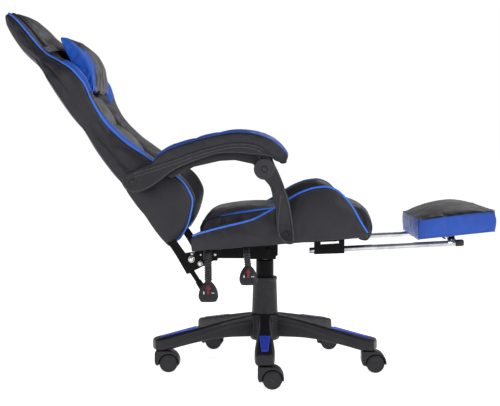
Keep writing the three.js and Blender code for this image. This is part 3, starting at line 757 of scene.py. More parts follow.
def wing_slope(along, half, wing, foot, inner):
    """From the piping over the wing to the panel's seam, at one station."""
    crest = wing + np.interp(along, *WING_CREST)
    return curve([
        (half - 6, wing), (half - 16, crest), (half - 30, crest),
        ((half + inner) / 2, foot + (wing - foot) * 0.62 + 6), (inner + 12, foot + 2), (inner + 2, foot - 2),
    ], SLOPE)


def back_cover():
    across = 2 * (SLOPE + GUTTER) + BED
    rings = []
    for along, half, bed, wing, foot, _, inner, low in back_rows:
        rear = curve([(-half + 7, low + 5), (-half + 22, low + 1.5), (0, low), (half - 22, low + 1.5),
                      (half - 7, low + 5)], across)
        side = curve([(half - 7, low + 5), (half - 1, low + 14), (half, (low + wing) * 0.5),
                      (half - 1.5, wing - 9), (half - 6, wing)], BACK_SIDE)
        slope = wing_slope(along, half, wing, foot, inner)
        gutter = even([(inner + 2, foot - 2), (inner + 0.5, bed)], GUTTER)
        bed_line = even([(inner + 0.5, bed), (-inner - 0.5, bed)], BED)
        outline = loop(rear, side, slope, gutter, bed_line, mirror(gutter), mirror(slope), mirror(side))
        rings.append([on_back(x, along, o) for x, o in outline])
    form = SoftForm("backrest_cover", rings, across, BACK_SIDE)
    form.pin_edges()
    form.pin(form.cap(), form.ring(1))
    front = form.corner(2)
    for i in range(front + SLOPE, front + SLOPE + 2 * GUTTER + BED + 1):
        form.pin(form.line(i))
    for along in BACK_REAR_TUCKS:
        form.pin(form.ring(back_station(along), 0, form.a))
    for k, shift in ((1, 6), (3, BACK_SIDE - 6)):
        tuck(form, form.edge(k, shift, *map(back_station, SIDE_TUCK_SPAN)), 3 * MM)
    upholster(form, 5 * MM, 3.0, 9 * MM, 0.006)
    return form


def back_panel():
    rings = []
    for along, _, bed, _, _, out, inner, _ in back_rows:
        across = inner - 0.5
        swell = min(1.0, (BACK_TOP - along) / 30 + 0.25)
        half_top = [(across - 2, out - 7), (across - 16, out - 1), (across * 0.5, out + 2 * swell)]
        top = curve([*half_top, (0, out + 3 * swell), *mirror(half_top)], PANEL_STEPS)
        low = even([(-across, bed + 0.6), (across, bed + 0.6)], PANEL_STEPS)
        side = even([(across, bed + 0.6), (across - 2, out - 7)], PANEL_SIDE)
        rings.append([on_back(x, along, o) for x, o in loop(low, side, top, mirror(side))])
    form = SoftForm("backrest_panel_cushion", rings, PANEL_STEPS, PANEL_SIDE)
    form.pin_edges()
    form.pin(form.side(0), form.side(1), form.side(3))
    for along in PANEL_TUCKS:
        r = back_station(along)
        tuck(form, form.ring(r, form.corner(2), form.corner(3)), 5 * MM)
    upholster(form, 5 * MM, 4.0, 9 * MM, 0.01)
    return form


def tuck(form, indices, depth):
    """Pulls a line of vertices in, as a sewn channel does, and holds it there."""
    normals = {i: form.piece.data.vertex_normals[i].vector.copy() for i in indices}
    for i in indices:
        form.piece.data.vertices[i].co -= normals[i] * depth
    form.pin(indices)


# ---------------------------------------------------------------- head pillow
PILLOW_HALF = 150
PILLOW_BLUE_FROM = 104  # across
PILLOW_MIDDLE = (530, 66)  # along and out, where the ends shrink to
PILLOW_STEPS, PILLOW_SIDE = 32, 8


def pillow():
    rear = [(444, 66), (500, 72), (560, 80), (604, 89)]
    top = [(604, 89), (610, 93), (609, 98)]
    front = [(609, 98), (582, 107), (540, 109), (500, 105), (465, 95), (445, 84)]
    low = [(445, 84), (438, 75), (444, 66)]
    outline = loop(curve(rear, PILLOW_STEPS), curve(top, PILLOW_SIDE), curve(front, PILLOW_STEPS),
                   curve(low, PILLOW_SIDE))
    a0, o0 = PILLOW_MIDDLE
    rings = []
    for x in np.linspace(-PILLOW_HALF, PILLOW_HALF, 47):
        thick = 1 - 0.12 * abs(x / PILLOW_HALF) ** 3
        long = 1 - 0.05 * abs(x / PILLOW_HALF) ** 3
        rings.append([on_back(x, a0 + (a - a0) * long, o0 + (out - o0) * thick) for a, out in outline])
    form = SoftForm("head_pillow_cushion", rings, PILLOW_STEPS, PILLOW_SIDE)
    pleat_ends(form)
    form.pin(form.ring(0), form.ring(-1), form.side(0)[::3], form.edge(2), form.edge(3))
    upholster(form, 7 * MM, 5.0, 16 * MM, 0.035)
    return form


def pleat_ends(form):
    """Gathers in the end panels, fanning from the edge that lies on the back."""
    for index, (kind, r, u) in enumerate(form.where):
        if kind != "end":
            continue
        for v in form.piece.data.polygons[index].vertices:
            if v >= form.count * form.n:
                fold = math.sin(u * 1.35 + 0.6) * (0.6 + 0.4 * math.sin(u * 0.37))
                form.piece.data.vertices[v].co.x += 1.1 * MM * fold


# ---------------------------------------------------------------- seat
SEAT_HALF = 168
SEAT_STEPS, SEAT_SIDE = 52, 12
SEAT_TUCKS = (12, 26)  # places along the top, of SEAT_STEPS


def seat_cushion():
    low = [(30, 1), (240, 0.8), (446, 0.8), (451, -16), (473, -20)]
    front = [(473, -20), (487, -2), (488, 22), (479, 52), (468, 66)]
    top = [(468, 66), (434, 78), (330, 84), (220, 84), (110, 81), (52, 74), (34, 64)]
    rear = [(34, 64), (28, 44), (28, 18), (30, 1)]
    outline = loop(even(low, SEAT_STEPS), curve(front, SEAT_SIDE), curve(top, SEAT_STEPS),
                   curve(rear, SEAT_SIDE))
    rings = []
    for x in np.linspace(-SEAT_HALF, SEAT_HALF, 43):
        swell = 1 - abs(x / SEAT_HALF) ** 4
        ring = []
        for along, up in outline:
            edge_lift = 5 * (1 - swell) * clamped(min((along - 70) / 150, (450 - along) / 80))
            ring.append(on_seat(x, along, up + (3 * swell + edge_lift) * clamped((up - 30) / 40)))
        rings.append(ring)
    form = SoftForm("seat_centre_cushion", rings, SEAT_STEPS, SEAT_SIDE)
    form.pin(form.ring(0), form.ring(-1), form.side(0))
    for place in SEAT_TUCKS:
        tuck(form, form.edge(2, place), 4 * MM)
    upholster(form, 6 * MM, 4.0, 11 * MM, 0.012)
    return form


# along, top
SEAT_WING = [
    (4, 32), (10, 40), (50, 49.5), (95, 57.5), (165, 69), (235, 98), (300, 130),
    (340, 140), (364, 141), (392, 132), (428, 93), (452, 44), (468, 12),
]
WING_OUT = 250
WING_IN = 168.8
WING_STEPS, WING_SIDE = 14, 18
SEAT_TOP = 80  # level of the seat cushion, where the wing's inner slope ends


def seat_wing():
    rings = []
    for along, top in steady(SEAT_WING, np.linspace(SEAT_WING[0][0], SEAT_WING[-1][0], 68)):
        shoulder = min(top - 3, SEAT_TOP)
        low = even([(-WING_IN, 0.8), (-WING_OUT + 6, -2.6)], WING_STEPS)
        outer = curve([(-WING_OUT + 6, -2.6), (-WING_OUT + 0.5, top * 0.3), (-WING_OUT, top * 0.6),
                       (-WING_OUT + 4, top - 1)], WING_SIDE)
        slope = curve([
            (-WING_OUT + 4, top - 1), (-WING_OUT + 14, top - 2), (-WING_OUT + 38, max(top - 11, shoulder)),
            (-WING_IN - 20, shoulder + (top - shoulder) * 0.28), (-WING_IN, shoulder - 3),
        ], WING_STEPS)
        inner = even([(-WING_IN, shoulder - 3), (-WING_IN, 0.8)], WING_SIDE)
        rings.append([on_seat(x, along, up) for x, up in loop(low, outer, slope, inner)])
    form = SoftForm("seat_bolster_right", rings, WING_STEPS, WING_SIDE)
    form.pin_edges()
    form.pin(form.side(0), form.side(3), form.cap(), form.ring(1))
    upholster(form, 4 * MM, 3.5, 8 * MM, 0.008)
    return form


# ---------------------------------------------------------------- armrests
ARM_IN, ARM_OUT = 262, 326
ARM_REAR = (-338, 535)
ARM_HUB = (-1, 570)
ARM_FOOT = (56, 399)
PAD_TOP = [
    (-358, 556), (-326, 570), (-300, 579), (-284, 590), (-276, 606), (-260, 618), (-233, 632), (-168, 652),
    (-103, 666), (-64, 670), (-25, 666), (13, 654), (39, 636), (58, 613), (60, 603),
]
PAD_LOW = [
    (-361, 553), (-298, 573), (-233, 594), (-168, 617), (-103, 633), (-64, 637),
    (-25, 632), (0, 619), (27, 598), (43, 585), (54, 588),
]
SHELL_OUTLINE = [
    (-362, 551), *PAD_LOW[1:7],
    (2, 618), (28, 598), (43, 587), (27, 591), (12, 601), (-14, 605), (-38, 607), (-64, 610), (-116, 609),
    (-155, 598), (-194, 584), (-233, 566), (-272, 537), (-298, 520), (-324, 511), (-350, 514), (-365, 532),
]
PAD_STATIONS = 68
PAD_STEPS, PAD_SIDE = 14, 8
STRIP_STEPS = 12  # width of the blue strip, of PAD_STEPS across the top
STRIP_FROM = 13  # where it starts, of PAD_STATIONS along the pad


def arm_pad():
    rings = []
    for (f0, z0), (f1, z1) in zip(curve(PAD_LOW, PAD_STATIONS), curve(PAD_TOP, PAD_STATIONS)):
        def line(*spots):
            return [(x, f0 + (f1 - f0) * share, z0 + (z1 - z0) * share) for x, share in spots]
        low = even(line((-ARM_IN - 2, 0), (-ARM_OUT + 2, 0)), PAD_STEPS)
        outer = curve(line((-ARM_OUT + 2, 0), (-ARM_OUT, 0.35), (-ARM_OUT + 1.5, 0.74)), PAD_SIDE)
        top = curve(line((-ARM_OUT + 1.5, 0.74), (-ARM_OUT + 12, 0.93), (-(ARM_IN + ARM_OUT) / 2, 1.0),
                         (-ARM_IN - 12, 0.93), (-ARM_IN - 1.5, 0.74)), PAD_STEPS)
        inner = curve(line((-ARM_IN - 1.5, 0.74), (-ARM_IN, 0.35), (-ARM_IN - 2, 0)), PAD_SIDE)
        rings.append([at(*p) for p in loop(low, outer, top, inner)])
    form = SoftForm("arm_pad_cushion_right", rings, PAD_STEPS, PAD_SIDE)
    form.pin_edges()
    strip = form.corner(2) + 1
    form.pin(form.side(0), form.line(strip), form.line(strip + STRIP_STEPS))
    form.paint([BLACK_LEATHER, BLUE_LEATHER], lambda kind, r, i: int(
        kind == "wall" and r >= STRIP_FROM and strip <= i < strip + STRIP_STEPS))
    upholster(form, 2.5 * MM, 5.0, 5 * MM, 0.01)
    return form


# ---------------------------------------------------------------- footrest pad
FOOT_HALF = 175
FOOT_MIDDLE = (516, 415)
FOOT_STEPS, FOOT_SIDE = 28, 9
FOOT_SOFT = 8  # radius of the rounded ends


def foot_pad():
    low = [(413, 375), (619, 397)]
    front = [(619, 397), (622, 424), (618, 450)]
    side_top = [(618, 455), (520, 444), (413, 429)]
    mid_top = [(618, 453), (600, 461), (555, 463.5), (500, 459), (450, 446), (413, 430)]
    flat, high = curve(side_top, FOOT_STEPS), curve(mid_top, FOOT_STEPS)
    f0, z0 = FOOT_MIDDLE
    rings = []
    ends = FOOT_SOFT * (1 - np.cos(np.linspace(0, math.pi / 2, 6)))
    between = FOOT_HALF - 2 * FOOT_SOFT
    for x in [*(-FOOT_HALF + ends), *np.linspace(-between, between, 37), *(FOOT_HALF - ends[::-1])]:
        shrink = FOOT_SOFT - math.sqrt(max(0.0, FOOT_SOFT**2 - max(0.0, abs(x) - FOOT_HALF + FOOT_SOFT) ** 2))
        swell = 1 - abs(x / FOOT_HALF) ** 3
        top = flat * (1 - swell) + high * swell
        bulge = 9 * (1 - (x / FOOT_HALF) ** 2)
        top[:, 0] -= bulge * np.clip((480 - top[:, 0]) / 60, 0, 1)
        rear = [tuple(top[-1]), (411 - bulge * 0.6, 402), (413, 375)]
        outline = loop(even(low, FOOT_STEPS), curve(front, FOOT_SIDE), top, curve(rear, FOOT_SIDE))
        shorter, thinner = 1 - shrink / 104, 1 - shrink / 60
        rings.append([at(x, f0 + (f - f0) * shorter, z0 + (z - z0) * thinner) for f, z in outline])
    form = SoftForm("footrest_pad_cushion", rings, FOOT_STEPS, FOOT_SIDE)
    form.pin_edges()
    form.pin(form.side(0))
    top_from, top_to = form.corner(2), form.corner(3)
    form.paint([BLUE_LEATHER, BLACK_LEATHER], lambda kind, r, i: int(
        kind == "wall" and top_from <= i < top_to))
    upholster(form, 3 * MM, 4.0, 7 * MM, 0.012)
    return form


# ---------------------------------------------------------------- soft pieces, shaped together
cover = back_cover()
panel = back_panel()
head = pillow()
head.paint([BLACK_LEATHER, BLUE_PANEL], lambda kind, r, i: int(
    kind == "end" or abs(r - (head.count - 2) / 2) * 2 * PILLOW_HALF / (head.count - 1) > PILLOW_BLUE_FROM))
centre = seat_cushion()
wing = seat_wing()
pad = arm_pad()
foot = foot_pad()
run_cloth()

finish_soft(cover, "backrest", "black_leather",
            ["backrest_shell", "backrest_wing_right", "backrest_wing_left"])
finish_soft(panel, "backrest", "black_leather", ["backrest_panel"])
finish_soft(head, "backrest", "blue_leather", ["head_pillow"])
finish_soft(centre, "seat", "black_leather", ["seat_cushion"])
finish_soft(wing, "seat", "black_leather", ["seat_wing_right"])
soft_twin(wing.piece, "seat_bolster_left", "seat", "black_leather", ["seat_wing_left"])
finish_soft(pad, "armrest_right", "black_leather", ["arm_pad_right"])
soft_twin(pad.piece, "arm_pad_cushion_left", "armrest_left", "black_leather", ["arm_pad_left"])
finish_soft(foot, "footrest_pad", "blue_leather", ["footrest_pad"])


# ---------------------------------------------------------------- piping and stitching of the soft pieces
ENDS = {"right": 0, "left": -1}  # the rings at the two ends of a form that runs across


def flip(points, sign):
    return [Vector((p[0] * sign, p[1], p[2])) for p in points]


def tuck_rows(along, shift, out, half, count):
    """A stitch row on each side of a channel that runs across the back."""
    return [[on_back(x, along + s, out) for x in np.linspace(-half, half, count)] for s in (-shift, shift)]


def back_seams():
    low_right = cover.points(cover.ring(0, cover.corner(3), cover.n))[::-1]
    low_left = cover.points(cover.ring(0, cover.corner(1), cover.corner(2)))
    right, left = cover.points(cover.edge(3)), cover.points(cover.edge(2))
    top = curve([right[-1], on_back(0, 749, 13), left[-1]], 24)[1:-1]
    path = [*low_right[1:-2], *right, *[Vector(p) for p in top], *left[::-1], *low_left[::-1][2:-1]]
    piping("back_piping", path, "backrest")
    rows, panel_edges = [], []
    for sign in (1, -1):
        for from_edge, over in ((-12, 3), (-1, -9)):
            rows.append([on_back(sign * (half + from_edge), along, wing + over)
                         for along, half, _, wing, *_ in back_rows[2:-2]])
        inner_rows = [(along, foot, out, inner) for along, _, _, _, foot, out, inner, _ in back_rows[3:-3]]
        rows.append([on_back(sign * (inner + 8), along, foot) for along, foot, _, inner in inner_rows])
        panel_edges.append([on_back(sign * (inner - 8), along, out) for along, _, out, inner in inner_rows])
    for along in BACK_REAR_TUCKS:
        rows += tuck_rows(along, 5, 0, back_rows[back_station(along)][1] - 16, 40)
    stitches("back_stitches", rows, cover.piece, BLACK_THREAD)
    rows = []
    for along in PANEL_TUCKS:
        out, inner = back_rows[back_station(along)][5:7]
        rows += tuck_rows(along, 6, out, inner - 9, 30)
    stitches("back_panel_stitches", rows + panel_edges, panel.piece, BLACK_THREAD)


SLANT = -0.28  # the blue panels' ends run down towards the middle of the back


def wing_line(along):
    """Points from the outer side over the wing's edge and down its inner slope."""
    _, half, _, edge, foot, _, inner, _ = steady(BACK, [along])[0]
    side = [(half - 0.5, edge - 16), (half - 1.5, edge - 9), (half - 6, edge)]
    return [*side, *wing_slope(along, half, edge, foot, inner)[1:]]


def wing_patch(name, sign, low, high, near, far):
    """A blue panel on the wing. near and far(along) are distances across it, from 16 mm below the edge."""
    grid = []
    for along in np.linspace(low, high, 40):
        line = np.array(wing_line(along))
        run = np.concatenate([[0], np.cumsum(np.linalg.norm(np.diff(line, axis=0), axis=1))])
        row = []
        for d in np.linspace(near, far(along), 14):
            x, out = np.interp(d, run, line[:, 0]), np.interp(d, run, line[:, 1])
            row.append(on_back(-sign * x, along + SLANT * (d - 20), out))
        grid.append(row)
    patch(name, cover.piece, grid, "blue_leather", BLUE_PANEL)


def lumbar_far(along):
    """The lower panel starts as a point and widens on its way down."""
    return 15 + 25 * clamped((408 - along) / 90) * max(0.12, min(1.0, (along - 188) / 70))


SHOULDER_SPAN, SHOULDER_ACROSS = (440, 543), (20, 96)
LUMBAR_SPAN, LUMBAR_NEAR = (180, 404), 13


def wing_patches():
    near, far = SHOULDER_ACROSS
    for side, sign in SIDES.items():
        wing_patch(f"shoulder_panel_{side}", sign, *SHOULDER_SPAN, near, lambda along: far)
        wing_patch(f"lumbar_panel_{side}", sign, *LUMBAR_SPAN, LUMBAR_NEAR, lumbar_far)


def pillow_parts():
    rows = [head.points(head.ring(r, head.corner(2) + 1, head.corner(3))) for r in (7, -8)]
    stitches("pillow_stitches", rows, head.piece, BLUE_THREAD)
    for side, r in ENDS.items():
        seam = tube_skin(head.points(head.ring(r)), 0.9 * MM, 8)
        build(f"pillow_seam_{side}", [seam], "backrest", "blue_leather", material=BLUE_PANEL)


STRAP_SPAN = (588, 609)  # along the back
STRAP_THICK = 1.6


def strap():
    """Elastic band behind the pillow, from the top of one wing to the other."""
    steps = 120
    rows = []
    for along in np.linspace(*STRAP_SPAN, 7):
        _, half, _, edge, foot, out, inner, _ = steady(BACK, [along])[0]
        near = [(half - 12, edge + 4), ((half + inner) / 2, (edge + foot) / 2 + 7), (inner + 6, out + 3)]
        line = curve([*near, (0, out + 6), *mirror(near)], steps)
        rows.append([[on_back(x, along, o + lift) for x, o in line] for lift in (0, STRAP_THICK)])
    rings = [[low[i] for low, _ in rows] + [high[i] for _, high in rows[::-1]] for i in range(steps + 1)]
    band = joined("pillow_strap_band", skin(rings))
    turn_faces_out(band.data)
    dress(band, "backrest", "strap", ["pillow_strap"])


def seat_seams():
    steps, taper = 120, 24
    for side, r in ENDS.items():
        edge = centre.ring(r, centre.corner(2) + 8, centre.corner(3) - 6)
        radii = [PIPING_R * min(1.0, 0.3 + i / taper, 0.3 + (steps - 1 - i) / taper) for i in range(steps)]
        tube = tube_skin(curve(centre.points(edge), steps), radii, 10)
        # The seat piping takes the paler blue, a painted highlight
        build(f"seat_piping_{side}", [tube], "seat", "blue_leather", material=PIPING_WITH_PAINTED_HIGHLIGHT)
    rows = [centre.edge(2, place + shift)[2:-2] for place in SEAT_TUCKS for shift in (-1, 1)]
    rows += [centre.ring(r, centre.corner(1) + 4, centre.corner(3)) for r in (1, -2)]
    stitches("seat_stitches", [centre.points(row) for row in rows], centre.piece, BLUE_THREAD)
    rows = [wing.points(wing.edge(2, shift, 2, wing.count - 2)) for shift in (1, -1)]
    for side, sign in SIDES.items():
        piping(f"bolster_piping_{side}", flip(wing.points(wing.edge(2, 0, 1)), sign), "seat")
        stitches(f"bolster_stitches_{side}", [flip(row, sign) for row in rows],
                 bpy.data.objects[f"seat_bolster_{side}"], BLACK_THREAD)


def pad_seams():
    rows = [pad.points(pad.edge(2, shift, STRIP_FROM, pad.count - 2)) for shift in (1, 1 + STRIP_STEPS)]
    base = pad.points([*pad.edge(1), *pad.edge(0)[::-1]])
    for side, sign in SIDES.items():
        stitches(f"arm_pad_stitches_{side}", [flip(row, sign) for row in rows],
                 bpy.data.objects[f"arm_pad_cushion_{side}"], BLUE_THREAD)
        piping(f"arm_pad_welt_{side}", flip(base, sign), f"armrest_{side}", 1.6 * MM, "black_leather",
               BLACK_LEATHER)


def foot_seams():
    def seam(name, *runs):
        tube = tube_skin(foot.points([v for run in runs for v in run[1:-1]]), 1.0 * MM, 8)
        build(name, [tube], "footrest_pad", "blue_leather")
    near, far = ([foot.ring(r, foot.corner(k), foot.corner(k + 1)) for k in (0, 2)] for r in (0, -1))
    seam("footrest_seam", foot.edge(2), far[1], foot.edge(3)[::-1], near[1][::-1])
    seam("footrest_base_seam", foot.edge(1), far[0][::-1], foot.edge(0)[::-1], near[0])
    rows = [foot.edge(2, 1, 1, foot.count - 1), foot.edge(3, -1, 1, foot.count - 1)]
    rows += [foot.ring(r, foot.corner(2) + 1, foot.corner(3) - 1) for r in (1, -2)]
    stitches("footrest_stitches", [foot.points(row) for row in rows], foot.piece, BLUE_THREAD)


for add_details in (back_seams, wing_patches, pillow_parts, strap, seat_seams, pad_seams, foot_seams):
    add_details()


# ---------------------------------------------------------------- base, casters and gas column
LEGS = 5
STEM_RADIUS = 301
WHEEL_R = 25.3
WHEEL_TRAIL = 19.6
LEG = [  # radius, top, bottom, width
    (22, 148, 84, 38), (60, 144, 85, 36), (105, 136, 86, 35), (150, 127, 84, 39), (205, 116, 77, 46),
    (255, 106, 68, 52), (285, 100, 62, 54), (305, 96.4, 60.5, 52), (318, 93.4, 61, 46), (323, 89, 64, 36),
]
LEDGE = [  # radius, height of the side ledge as a share of the leg's height, and its depth
    (22, 0.72, 1.6), (105, 0.66, 2.2), (170, 0.52, 2.0), (240, 0.36, 1.6), (300, 0.25, 0.6), (323, 0.25, 0.0),
]


def leg_skin():
    """Box-section leg: a broad upper band over a set-back lower band, and a flat top for the inlay."""
    radii = [*np.linspace(22, 306, 56), 310, 314, 317.5, 320.5, 322.2, 323]
    rings = []
    for (r, top, bottom, width), (_, share, depth) in zip(steady(LEG, radii), steady(LEDGE, radii)):
        w, h = width / 2, top - bottom
        ledge = bottom + share * h
        half = [
            (w * 0.8 - depth, bottom), (w * 0.92 - depth, bottom + 2.5), (w - depth, ledge - 3),
            (w, ledge + 0.5), (w * 0.985, bottom + h * 0.82), (w * 0.86, top - 2.4), (w * 0.72, top - 0.2),
            (w * 0.66, top),
        ]
        outline = even([*half, *mirror(half), half[0]], 96)[:-1]
        rings.append([Vector((-r, t, z)) * MM for t, z in outline])
    return skin(rings)


def star_base():
    points, faces = leg_skin()
    turns = [Matrix.Rotation(a, 4, "Z") for a in turn_steps(LEGS)]
    legs = [([turn @ Vector(p) for p in points], faces) for turn in turns]
    hub = lathe_skin(rounded_profile([
        (0, 74), (38, 74), (42, 79), (42, 126), (44.5, 129), (44.5, 137), (42, 140), (42, 146), (39, 150),
        (0, 150),
    ], 1.6), 72)
    base = fused("star_base", [hub, *legs], 1.8 * MM, 0.5, 4)
    dress(base, "base", "black_plastic", ["base_star"])


HOOD_OUTSIDE = [
    (30, -3), (30.4, 4), (28, 14), (21, 25), (11, 32), (0, 34), (-16, 34.3), (-30, 34.3), (-35.6, 33),
    (-37.8, 29), (-38, 18), (-38, 6), (-35.5, -3), (-31, -6),
]
HOOD_HALF = 24.6
WEB_R = 27.5  # the rib between the wheels that joins the hood to the axle


def caster(number, forward, x):
    """Twin wheels under a hood that also wraps the stem."""
    def near(f, z):
        return forward + WHEEL_TRAIL + f, WHEEL_R + z

    def arc(radius, start, stop, count):
        return [near(radius * math.cos(a), radius * math.sin(a)) for a in np.linspace(start, stop, count)]
    outside = [near(*p) for p in curve(HOOD_OUTSIDE, 60)]
    inside = arc(WHEEL_R + 1.6, math.radians(190), math.radians(-5), 50)
    web_low = math.asin((14 - WHEEL_R) / WEB_R)
    stem = rounded_profile([
        (0, 45), (5.3, 45), (5.3, 60.2), (6.6, 60.4), (6.6, 61), (5.3, 61.2), (5.3, 87), (0, 87),
    ], 0.4)
    build(f"caster_{number}_hood", [
        slab_skin([*outside, *inside], x - HOOD_HALF, x + HOOD_HALF, 1.5),
        slab_skin(arc(WEB_R, web_low, math.pi - web_low, 48), x - 5, x + 5, 1),
        lathe_skin(stem, 32, at(x, forward, 0)),
    ], f"caster_{number}", "black_plastic", [f"caster_hood_{number}"])
    middle = at(x, *near(0, 0))
    side = rounded_profile([
        (0, 24.4), (5.6, 24.4), (6.4, 23.4), (7.4, 23.2), (17.6, 23.9), (18.4, 23.2), (19.4, 23.2),
        (20.2, 24.1), (23.2, 23.2), (WHEEL_R, 20.6), (WHEEL_R, 9.4), (24, 7), (12, 6.6), (4, 6.6),
    ], 0.8)
    wheels = [lathe_skin([(p[0], sign * p[1]) for p in side], 72, middle, "X") for sign in (1, -1)]
    axle_pin = lathe_skin([(4, -8), (4, 8)], 24, middle, "X")
    build(f"caster_{number}_wheels", [*wheels, axle_pin], f"wheels_{number}", "black_plastic",
          [f"caster_wheels_{number}"])


def gas_column():
    tube = rounded_profile([
        (0, 66), (24, 66), (25, 68), (25, 300), (24, 303), (17, 304), (15, 303), (0, 303),
    ], 0.8)
    build("gas_column_tube", [lathe_skin(tube, 64)], "base", "black_steel", ["gas_column"])
    sleeve = rounded_profile([
        (25.4, 150.4), (36.5, 150.4), (37, 152), (36.6, 156), (33.5, 244.5), (34.6, 246), (34.8, 252.4),
        (33, 254.6), (25.6, 254.6),
    ], 1.2)
    rings = [*sleeve, *[Vector((25.4, z)) for z in (250, 200, 152)]]
    n, count = 72, len(rings)
    points, _ = lathe_skin(rings, n)
    faces = [(r * n + i, r * n + (i + 1) % n, (r + 1) % count * n + (i + 1) % n, (r + 1) % count * n + i)
             for r in range(count) for i in range(n)]
    piece = new_object("column_sleeve", points, faces)
    turn_faces_out(piece.data)
    dress(piece, "base", "black_plastic", ["column_cover"])
    piston = rounded_profile([(0, 180), (14, 180), (14, 325), (0, 325)], 0.5)
    build("gas_piston_rod", [lathe_skin(piston, 48)], "piston", "chrome", ["gas_piston"])


star_base()
for number, turn in enumerate(turn_steps(LEGS), 1):
    caster(number, STEM_RADIUS * math.sin(turn), -STEM_RADIUS * math.cos(turn))
gas_column()


# ---------------------------------------------------------------- mechanism: hand levers and bolts
def paddle_skin(start, end, half):
    """Flat bottle-shaped grip with crowned faces."""
    down = (end - start).normalized()
    length = (end - start).length / MM
    sideways = Vector((0, -1, 0))
    sideways = (sideways - down * sideways.dot(down)).normalized()
    out = sideways.cross(down)
    right = [
        (7.2, -4), (8.4, 3), (half * 0.62, length * 0.2), (half * 0.88, length * 0.42), (half, length * 0.66),
        (half * 0.98, length * 0.8), (half * 0.86, length * 0.92), (half * 0.62, length),
    ]
    outline = curve([*right, *mirror(right)], 90, closed=True)
    middle = outline.mean(axis=0)
    rings = []
    for level in np.linspace(-1, 1, 21):
        size = math.sqrt(max(0.0, 1 - abs(level) ** 3.2))
        height = 6.4 * math.copysign(abs(level) ** 0.8, level) + 1.2 * level * (1 - size)
        ring = middle + (outline - middle) * (0.04 + 0.96 * size)
        rings.append([start + (sideways * s + down * t + out * height) * MM for s, t in ring])
    return skin(rings)


ROD_INNER_END = -84.5
NECK_BEND_R = 8.6
LEVER_VOXEL = 0.85 * MM


def hand_lever(name, axis, rod_r, neck_top, neck_end, paddle_end, half, neck_r, ribs):
    """Cross rod, ribbed neck and paddle in one moulding. half is half the paddle's width."""
    top, end = at(*neck_top), at(*neck_end)
    bend = [at(neck_top[0] + 24, *axis), at(neck_top[0] + 6, *axis), top, top.lerp(end, 0.12)]
    shares = np.linspace(0, 1, ribs * 16 + 1)
    swell = [neck_r + 0.9 * (1 - math.tanh(3.5 * math.cos(2 * math.pi * ribs * s) + 0.4)) for s in shares]
    parts = [
        tube_skin([at(ROD_INNER_END, *axis), at(neck_top[0] + 4, *axis)], rod_r * MM, 24),
        tube_skin(curve(bend, 20), NECK_BEND_R * MM, 24),
        tube_skin([top.lerp(end, s) for s in shares], [r * MM for r in swell], 28),
        paddle_skin(end, at(*paddle_end), half),
    ]
    piece = dress(fused(f"{name}_moulding", parts, LEVER_VOXEL, 0.4, 3), name, "black_plastic", [name])
    half_rib = (end - top).normalized() * 0.9 * MM
    rib_radii = [(neck_r + g) * MM for g in (1.9, 2.4, 1.9)]
    rings = []
    for k in range(ribs):
        place = top.lerp(end, (k + 0.5) / ribs)
        rings.append(tube_skin([place - half_rib, place, place + half_rib], rib_radii, 36, rounded=False))
    # The neck ribs take the paler nylon, a painted highlight
    build(f"{name}_neck_ribs", rings, name, "black_plastic", material=PAINTED_HIGHLIGHT_PLASTIC)
    paddle_marks(name, piece, end, at(*paddle_end))


MARKS = {  # corners of each printed shape, across and down a paddle of MARKED_LENGTH
    "red": [[(-2.6, 20), (2.6, 20), (2.6, 34), (-2.6, 34)],
            [(-0.4, 10), (0.4, 10), (7.5, 20.4), (-7.5, 20.4)]],
    "white": [[(8, 30), (16, 30), (16, 32), (8, 32)], [(-13, 27), (-9.6, 27), (-9.6, 34), (-13, 34)]],
}
MARKED_LENGTH = 55


def paddle_marks(name, piece, start, end):
    """A red arrow with two white dashes, printed on the paddle's outer face."""
    down = (end - start).normalized()
    across = Vector((0, -1, 0))
    out = Vector((-8, 0, 0)) * MM
    scale = (end - start).length / MM / MARKED_LENGTH
    for tint, shapes in MARKS.items():
        for number, corners in enumerate(shapes, 1):
            a, b, c, d = (start + (across * s + down * t) * scale * MM + out for s, t in corners)
            grid = [[a.lerp(b, u).lerp(d.lerp(c, u), v) for u in np.linspace(0, 1, 7)]
                    for v in np.linspace(0, 1, 9)]
            patch(f"{name}_{tint}_mark_{number}", piece, grid, "black_plastic", PRINTS[tint], 0.25 * MM)


def bolt_skin(x, forward, up, radius, length, dome):
    """Domed bolt on a thin washer, its head towards -X. x is where the washer starts."""
    shank, head = radius * 0.55, radius * 0.82
    profile = [(0, length), (shank, length), (shank, 0.4), (radius, 0.4), (radius, -0.9),
               (radius * 0.92, -1.1), (head, -1.3)]
    profile += [(head * math.cos(a), -1.3 - dome * math.sin(a)) for a in np.linspace(0.15, 1.5, 8)]
    return lathe_skin(profile, 32, at(x, forward, up), "X")


BOLTS = {  # body, and x, forward, up, radius, length and dome of each bolt
    "recline_bolt": ("backrest", [(-222.4, -195, 327, 8.6, 13, 4.6)]),
    "recliner_stud": ("seat", [(-223, -171, 316, 7.2, 3, 3.4), (-219, -133, 340, 4.4, 2, 2.2),
                               (-219, -170, 339, 3.4, 2, 1.2)]),
    "hinge_stud": ("backrest", [(-222, -193, 342, 4.2, 2, 2.2)]),
}


def bolts():
    for name, (body, sizes) in BOLTS.items():
        piece = joined(f"{name}_head_right", *(bolt_skin(*size) for size in sizes))
        for side, half in (("right", piece), ("left", mirrored(piece, f"{name}_head_left"))):
            dress(half, body, "zinc", [f"{name}_{side}"] if name == "recline_bolt" else [])


hand_lever("tilt_lever", (-150, 342.5), 4.5, (-237, -150, 326), (-246, -149, 274), (-262, -148, 219),
           half=26, neck_r=8.6, ribs=9)
hand_lever("lift_lever", (-50, 352), 4, (-198, -49, 340), (-211, -45, 311), (-232, -43, 260),
           half=24, neck_r=7.2, ribs=5)
bolts()


